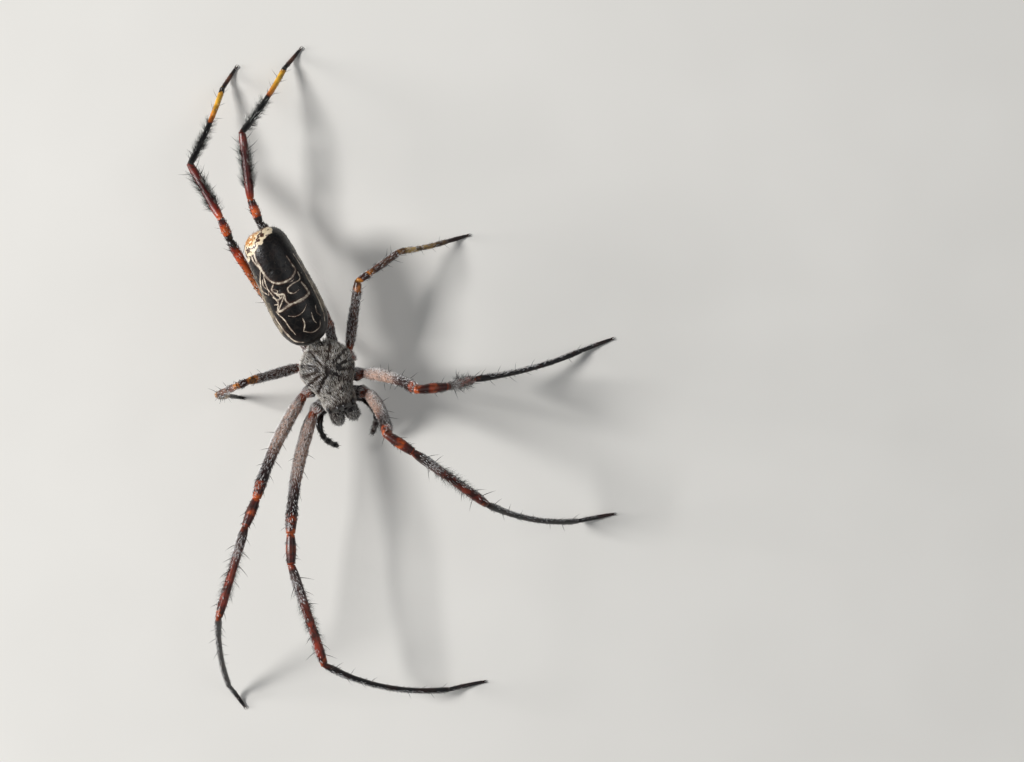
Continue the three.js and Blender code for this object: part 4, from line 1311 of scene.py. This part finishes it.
class SPIDER_OT_prosoma(bpy.types.Operator):
    """Makes the carapace, eyes, sternum, mouthparts and the soft skin between them"""

    bl_idname = "orb_weaver.prosoma"
    bl_label = "Front body"

    def execute(self, context):
        points, faces, uv = carapace_shape()
        x, y, z = points.T
        # Hair grows on the upper side, and leaves the horns, pit, furrows and eyes bare
        tall = between(z, CARAPACE_BASE + 0.1, CARAPACE_BASE + 0.3)
        bare = 1.1 * crease(np.abs(x), y, (0.1, 0.16), (1.3, -1.05), 0.2) + 1.2 * lump(x, y, FOVEA, 0.3)
        bare = bare + lump(np.abs(x), y, HORN, 0.2) + 1.25 * furrows(np.abs(x), y, 0.4, 0.17)
        pale = tall * np.clip(1.1 - bare, 0, 1) * np.random.default_rng(7).uniform(0.3, 1.7, len(x))
        for centre, _ in eye_places():
            clear = 1 - np.exp(-((points - centre) ** 2).sum(1) / EYE_CLEARING**2)
            pale, tall = pale * clear, tall * clear
        face = between(-y, 2.3, 2.7)
        # It lies backwards, and upwards on the face's own front
        front = between(-y, CARAPACE_LENGTH / 2 - 0.06, CARAPACE_LENGTH / 2)
        lie = np.stack([x * 0.35, 1 - front, front], 1)
        shape = Shape()
        shape.add(points, faces, uv, **dressed(
            lie, len(x), stature=1 - 0.35 * face, pale=pale * (1 - 0.25 * face),
            dark=0.25 * tall + 0.8 * face * tall))
        skin = shape.build("carapace_skin")
        COATED["carapace"] = finish_piece(skin, "carapace", carapace_cuticle(), ("carapace",))

        shape = Shape()
        profile = [(along, radius * EYE_SHARE) for along, radius in EYE_RIM + EYE_LENS]
        for centre, axis in eye_places():
            shape.add(*lathe(centre + axis * 0.03, axis, profile, 24))
        finish_piece(shape.build("eyes"), "eye", eye_lens())

        points, faces, uv = sternum_shape()
        shape = Shape()
        shape.add(points, faces, uv, **dressed((0, 1.0, 0), len(points), pale=0.6, dark=0.3))
        skin = shape.build("sternum_skin")
        COATED["sternum"] = finish_piece(skin, "sternum", sternum_cuticle(), ("sternum",))

        shape = Shape()
        shape.add_tube(LOWER_LIP_PATH, swelling(*LOWER_LIP_SWELLING), 24)
        for way in (1, -1):
            shape.add_tube(np.array(LOBE_PATH) * (way, 1, 1), swelling(*LOBE_SWELLING), 24)
        finish_piece(shape.build("mouthparts_skin"), "sternum", joint_skin(), ("mouthparts",))

        shape = Shape()
        shape.add(*hip_skin_shape())
        finish_piece(shape.build("hip_skin"), "sternum", joint_skin())

        shape = Shape()
        shape.add_tube(PEDICEL_PATH, swelling(*PEDICEL_SWELLING), 24)
        finish_piece(shape.build("pedicel_skin"), "sternum", joint_skin(), ("pedicel",))
        return {"FINISHED"}


class SPIDER_OT_jaws(bpy.types.Operator):
    """Makes the chelicerae, the fangs and the palps"""

    bl_idname = "orb_weaver.jaws"
    bl_label = "Jaws and palps"

    def execute(self, context):
        fangs = Shape()
        for side, way in (("left", 1), ("right", -1)):
            halves = swelling(*JAW_SWELLING) * 0.98
            points, along = tube(np.array(JAW_PATH) * (way, 1, 1), halves, 40)
            shape = Shape()
            shape.add(points, grid_faces(len(halves), 40), uv_of(len(halves), 40), **dressed(
                np.repeat(along, 40, 0), len(points), pale=0.7 * between(points[:, 2], 4.4, 4.9), dark=0.5))
            jaw = f"chelicera_{side}"
            COATED[jaw] = finish_piece(shape.build(f"{jaw}_skin"), "chelicera", jaw_cuticle(), (jaw,))
            fangs.add_tube(np.array(FANG_PATH) * (way, 1, 1), swelling(*FANG_SWELLING), 20)

            shape = Shape()
            halves = swelling(*PALP_SWELLING) * 0.97
            shape.add_tube(np.array(PALP_PATH) * (way, 1, 1), halves, 28,
                           dark=np.repeat(np.linspace(0.3, 1.0, len(halves)), 28))
            palp = f"palp_{side}"
            COATED[palp] = finish_piece(shape.build(f"{palp}_skin"), "palp", jaw_cuticle(), (palp,))
        finish_piece(fangs.build("fangs"), "claw", claw_horn())
        return {"FINISHED"}


class SPIDER_OT_abdomen(bpy.types.Operator):
    """Makes the abdomen and the spinnerets"""

    bl_idname = "orb_weaver.abdomen"
    bl_label = "Abdomen"

    def execute(self, context):
        along, side, up = abdomen_frame()
        points, faces, uv, spot, vein = abdomen_shape()
        shape = Shape()
        masks = dressed(along, len(points), pale=1.0, dark=0.35)
        shape.add(points, faces, uv, spot=spot, vein=vein, **masks)
        skin = shape.build("abdomen_skin")
        COATED["abdomen"] = finish_piece(skin, "abdomen", abdomen_cuticle(), ("abdomen",))

        def under(share, across, high):
            return ABDOMEN_FRONT + along * share * ABDOMEN_LENGTH - side * across + up * high

        below = -ABDOMEN_HEIGHT / 2 * float(abdomen_swell(np.array(0.86))) - GAP
        shape = Shape()
        mound = (under(0.85, 0, below + 0.45), under(0.855, 0, below), under(0.86, 0, below - 0.2))
        shape.add_tube(mound, swelling(*MOUND_SWELLING), 36, dark=0.8)
        lean = unit(along * 0.35 + np.array([0, 0, -1.0]))
        for share, across, long, half in SPINNERETS:
            for hand in (1, -1):
                root = under(share, across * hand, below - 0.02)
                stations, form = SPINNERET_FORM
                halves = swelling(stations, form * half * 0.97, 22)
                shape.add_tube((root, root + lean * long * 0.5, root + lean * long), halves, 24, dark=1.0)
        skin = shape.build("spinnerets_skin")
        COATED["spinnerets"] = finish_piece(skin, "spinnerets", joint_skin(), ("spinnerets",))
        return {"FINISHED"}


# Claws of a foot: to which side, length ahead of the foot's end and height of the bend
CLAWS = ((1, 0.4, 0.1), (-1, 0.4, 0.1), (0, 0.2, 0.0))
CLAW_SWELLING = ((0, 0.5, 1), (0.055, 0.04, 0.01), 12)
CLAW_CLEARANCE = 0.004


class SPIDER_OT_claws(bpy.types.Operator):
    """Makes the hooked claws at the end of each foot"""

    bl_idname = "orb_weaver.claws"
    bl_label = "Claws"

    def execute(self, context):
        shape = Shape()
        halves = swelling(*CLAW_SWELLING)
        for _, pieces in LEG_SKINS.values():
            foot = pieces[-1]
            left, ahead = foot.left(), foot.along(1.0)
            for way, long, lift in CLAWS:
                root = foot.at(0.96) + left * 0.04 * way + np.array([0, 0, 0.04])
                knee = foot.end + ahead * long * 0.45 + left * 0.07 * way + np.array([0, 0, lift])
                point = foot.end + ahead * long + left * 0.07 * way + np.array([0, 0, -0.04])
                points, _ = tube((root, knee, point), halves, 8)
                points[:, 2] = np.maximum(points[:, 2], CLAW_CLEARANCE)
                shape.add(points, grid_faces(len(halves), 8))
        finish_piece(shape.build("claws"), "claw", claw_horn())
        return {"FINISHED"}


# Spines by piece: how many, between which shares of the length, and their length
SPINES = {
    "femur": (9, 0.3, 0.95, 0.95),
    "patella": (3, 0.25, 0.85, 0.7),
    "tibia": (12, 0.1, 0.94, 1.15),
    "metatarsus": (12, 0.04, 0.97, 0.8),
}
# The short third legs have fewer and shorter spines
THIRD_LEG_SHARE = 0.7
# Turns of this many degrees keep neighbours apart. The spines fill this arc over the top of the leg.
TURN = 137.5
ARC = 300


def spine_tree():
    """Stout, bent, tapering spines on given roots, each along its own aim."""
    tree, given = new_tree("Spines", (
        ("Thickness", "Float", 0.07), ("Bend", "Float", 0.25), ("Seed", "Int", 1)))
    add = partial(node, tree)
    cone = add("GeometryNodeMeshCone", {
        "Vertices": 8, "Side Segments": 7, "Fill Segments": 1, "Radius Top": 0.06, "Radius Bottom": 1.0,
        "Depth": 1.0}, fill_type="TRIANGLE_FAN", out="Mesh")
    x, y, z = add(SPLIT, add("GeometryNodeInputPosition"), out=None)
    # A spine is thickest above its root, and bends by the square of its height
    swell = add(MATHS, add(MATHS, z, 2.6, **TIMES), operation="SINE")
    belly = add(MATHS, 0.75, add(MATHS, swell, 0.35, **TIMES), **PLUS)
    x, y = (add(MATHS, add(MATHS, each, belly, **TIMES), given["Thickness"], **TIMES) for each in (x, y))
    bend = add(MATHS, add(MATHS, z, z, **TIMES), given["Bend"], **TIMES)
    bent = add(COMBINE, x, add(MATHS, y, bend, **PLUS), z)
    spine = add("GeometryNodeSetPosition", {"Geometry": cone, "Position": bent})
    aim = add(NAMED, {"Name": "aim"}, data_type="FLOAT_VECTOR")
    lie = add(NAMED, {"Name": "lie"}, data_type="FLOAT_VECTOR")
    across = add(VECTORS, lie, aim, operation="CROSS_PRODUCT")
    turned = add("FunctionNodeAxesToRotation", aim, across, primary_axis="Z", secondary_axis="X")
    long = add(NAMED, {"Name": "long"}, data_type="FLOAT")
    vary = add(RANDOM, {2: 0.85, 3: 1.12, "Seed": given["Seed"]}, data_type="FLOAT", out=1)
    size = add(MATHS, long, vary, **TIMES)
    grown = add("GeometryNodeInstanceOnPoints", {
        "Points": add("GeometryNodeMeshToPoints", {"Mesh": given["Geometry"]}), "Instance": spine,
        "Rotation": turned, "Scale": add(COMBINE, size, size, size)})
    close_tree(tree, given, add("GeometryNodeRealizeInstances", grown))
    return tree


class SPIDER_OT_spines(bpy.types.Operator):
    """Sets the stout spines on the legs"""

    bl_idname = "orb_weaver.spines"
    bl_label = "Spines"

    def execute(self, context):
        draw = np.random.default_rng(5)
        roots, aims, lies, longs = [], [], [], []
        for (pair, _), (_, pieces) in LEG_SKINS.items():
            for piece in pieces:
                count, first, last, long = SPINES.get(piece.name, (0, 0, 1, 0))
                if pair == 3:
                    count, long = count * 2 // 3, long * THIRD_LEG_SHARE
                for i in range(count):
                    s = first + (last - first) * (i + draw.uniform(0.2, 0.8)) / count
                    turn = -60 + (30 + i * TURN + 40 * pair + draw.uniform(-10, 10)) % ARC
                    way = piece.along(s)
                    across, up = ring_frame(way, piece.left())
                    out = circle(np.array([math.radians(turn)]), across, up)[0]
                    lean = math.radians(draw.uniform(48, 78))
                    roots.append(piece.at(s) + out * piece.half_at(s) * 0.85)
                    aims.append(unit(out * math.sin(lean) + way * math.cos(lean)))
                    lies.append(way)
                    longs.append(long * MM * settings().spine_share)
        mesh = bpy.data.meshes.new("spine roots")
        mesh.from_pydata(place(roots).tolist(), [], [])
        for key, data in (("aim", aims), ("lie", lies)):
            mesh.attributes.new(key, "FLOAT_VECTOR", "POINT").data.foreach_set("vector", np.ravel(data))
        mesh.attributes.new("long", "FLOAT", "POINT").data.foreach_set("value", longs)
        piece = run_tree(spine_tree(), "spines", mesh, {
            "Thickness": 0.03, "Bend": 0.16, "Seed": 3, "Material": spine_horn()})
        finish_piece(piece, "bristle_dark")
        return {"FINISHED"}


# Coats of the body, by piece: tufts a square millimetre, length in millimetres, thickness as a share
# of it, and lean in degrees
BODY_COATS = {
    "carapace": {"hair": (135, 0.3, 0.036, 14), "setae": (12, 0.4, 0.03, 45)},
    "sternum": {"hair": (35, 0.25, 0.035, 25), "setae": (14, 0.3, 0.03, 45)},
    "abdomen": {"hair": (12, 0.16, 0.03, 18), "setae": (8, 0.22, 0.03, 38)},
    "spinnerets": {"setae": (60, 0.16, 0.04, 30)},
    "chelicera_left": {"hair": (60, 0.26, 0.036, 18), "setae": (22, 0.3, 0.03, 40)},
    "palp_left": {"setae": (34, 0.32, 0.03, 40)},
    "chelicera_right": {"hair": (60, 0.26, 0.036, 18), "setae": (22, 0.3, 0.03, 40)},
    "palp_right": {"setae": (34, 0.32, 0.03, 40)},
}


class SPIDER_OT_body_coat(bpy.types.Operator):
    """Grows the hair of the body"""

    bl_idname = "orb_weaver.body_coat"
    bl_label = "Body coat"

    def execute(self, context):
        for name, coats in BODY_COATS.items():
            for kind, (density, length, thickness, lean) in coats.items():
                if kind == "setae":
                    finish, mask, slot = dark_setae(), "dark", "bristle_dark"
                else:
                    finish, mask, slot = body_hair(), "pale", "hair_pale"
                    if name == "abdomen":
                        finish = abdomen_down()
                grow_coat(f"{name}_{kind}", COATED[name], finish, slot, mask=mask, seed=seed_of(name + kind),
                          density=float(density), length=length, thickness=thickness, spread=0.6,
                          lean=float(lean), unruly=0.3, bend=0.2, steps=2)
        return {"FINISHED"}


FLOOR_HALF = 1.2
# Lights in metres and watts: name, place, size and power. A small key light from the picture's left
# gives the hair its gleam, and the fill is soft.
LIGHTS = (
    ("key", (-0.37, 0.18, 0.36), 0.12, 2.75),
    ("fill", (0.3, -0.1, 0.5), 0.4, 0.35),
    ("rim", (-0.36, 0.13, 0.1), 0.1, 0.8),
)
LIT_SPOT = (0, 0, 0.005)
SKY_COLOUR = "#dfe6ee"
SKY_STRENGTH = 0.2
# The camera looks straight down. The picture is this wide at the body's height, around this spot,
# and the spider is turned by this many degrees in it.
PHOTO_LENS = 200.0
PHOTO_SENSOR = 36.0
PHOTO_WIDTH = 83.25
PHOTO_MIDDLE = (13.77, -5.44, 7.0)
PHOTO_TURN = math.radians(20.0)


class SPIDER_OT_stage(bpy.types.Operator):
    """Sets the pale floor, the soft lights and the camera"""

    bl_idname = "orb_weaver.stage"
    bl_label = "Stage"

    def execute(self, context):
        scene = context.scene
        mesh = bpy.data.meshes.new("floor")
        corners = [(x * FLOOR_HALF, y * FLOOR_HALF, 0) for x, y in ((-1, -1), (1, -1), (1, 1), (-1, 1))]
        mesh.from_pydata(corners, [], [(0, 1, 2, 3)])
        floor = link("floor", mesh)
        # Matt paint, with drifts of tone as wide as a finger
        paint = mottled(tuple(settings().floor_colour), "#dedbd5", 16.7, 0.2, 0.9, 2.0)
        mesh.materials.append(material("matt pale floor paint", paint, Roughness=0.85))

        scene.world = bpy.data.worlds.new("studio")
        scene.world.use_nodes = True
        background = scene.world.node_tree.nodes["Background"]
        background.inputs["Color"].default_value = linear(SKY_COLOUR)
        background.inputs["Strength"].default_value = SKY_STRENGTH
        for name, spot, size, power in LIGHTS:
            light = bpy.data.lights.new(name, "AREA")
            light.size = size
            light.energy = power
            lamp = link(name, light)
            lamp.location = spot
            lamp.rotation_euler = (Vector(LIT_SPOT) - Vector(spot)).to_track_quat("-Z", "Y").to_euler()

        view = bpy.data.cameras.new("camera")
        view.lens = PHOTO_LENS
        view.sensor_width = PHOTO_SENSOR
        view.clip_start = 0.01
        camera = link("camera", view)
        right = Vector((math.cos(PHOTO_TURN), -math.sin(PHOTO_TURN), 0))
        up = Vector((math.sin(PHOTO_TURN), math.cos(PHOTO_TURN), 0))
        back = Vector((0, 0, 1))
        far = PHOTO_WIDTH * PHOTO_LENS / PHOTO_SENSOR * MM
        turn = Matrix((right, up, back)).transposed().to_4x4()
        camera.matrix_world = Matrix.Translation(Vector(place(PHOTO_MIDDLE)) + back * far) @ turn
        scene.camera = camera
        scene.view_settings.view_transform = "Standard"
        return {"FINISHED"}


class SPIDER_PT_panel(bpy.types.Panel):
    """Lists the steps that build the spider"""

    bl_label = "Orb Weaver"
    bl_idname = "SPIDER_PT_panel"
    bl_space_type = "VIEW_3D"
    bl_region_type = "UI"
    bl_category = "Orb Weaver"

    def draw(self, context):
        for name in SpiderSettings.__annotations__:
            self.layout.prop(context.scene.orb_weaver, name)
        for step in STEPS:
            self.layout.operator(step.bl_idname)


STEPS = (
    SPIDER_OT_legs, SPIDER_OT_prosoma, SPIDER_OT_jaws, SPIDER_OT_abdomen, SPIDER_OT_claws, SPIDER_OT_spines,
    SPIDER_OT_leg_coat, SPIDER_OT_body_coat, SPIDER_OT_stage,
)
CLASSES = (SpiderSettings, *STEPS, SPIDER_PT_panel)


def register():
    for each in CLASSES:
        bpy.utils.register_class(each)
    bpy.types.Scene.orb_weaver = bpy.props.PointerProperty(type=SpiderSettings)


def unregister():
    del bpy.types.Scene.orb_weaver
    for each in reversed(CLASSES):
        bpy.utils.unregister_class(each)


def main():
    register()
    bpy.ops.orb_weaver.legs()
    bpy.ops.orb_weaver.prosoma()
    bpy.ops.orb_weaver.jaws()
    bpy.ops.orb_weaver.abdomen()
    bpy.ops.orb_weaver.claws()
    bpy.ops.orb_weaver.spines()
    bpy.ops.orb_weaver.leg_coat()
    bpy.ops.orb_weaver.body_coat()
    bpy.ops.orb_weaver.stage()


if __name__ == "__main__":
    main()
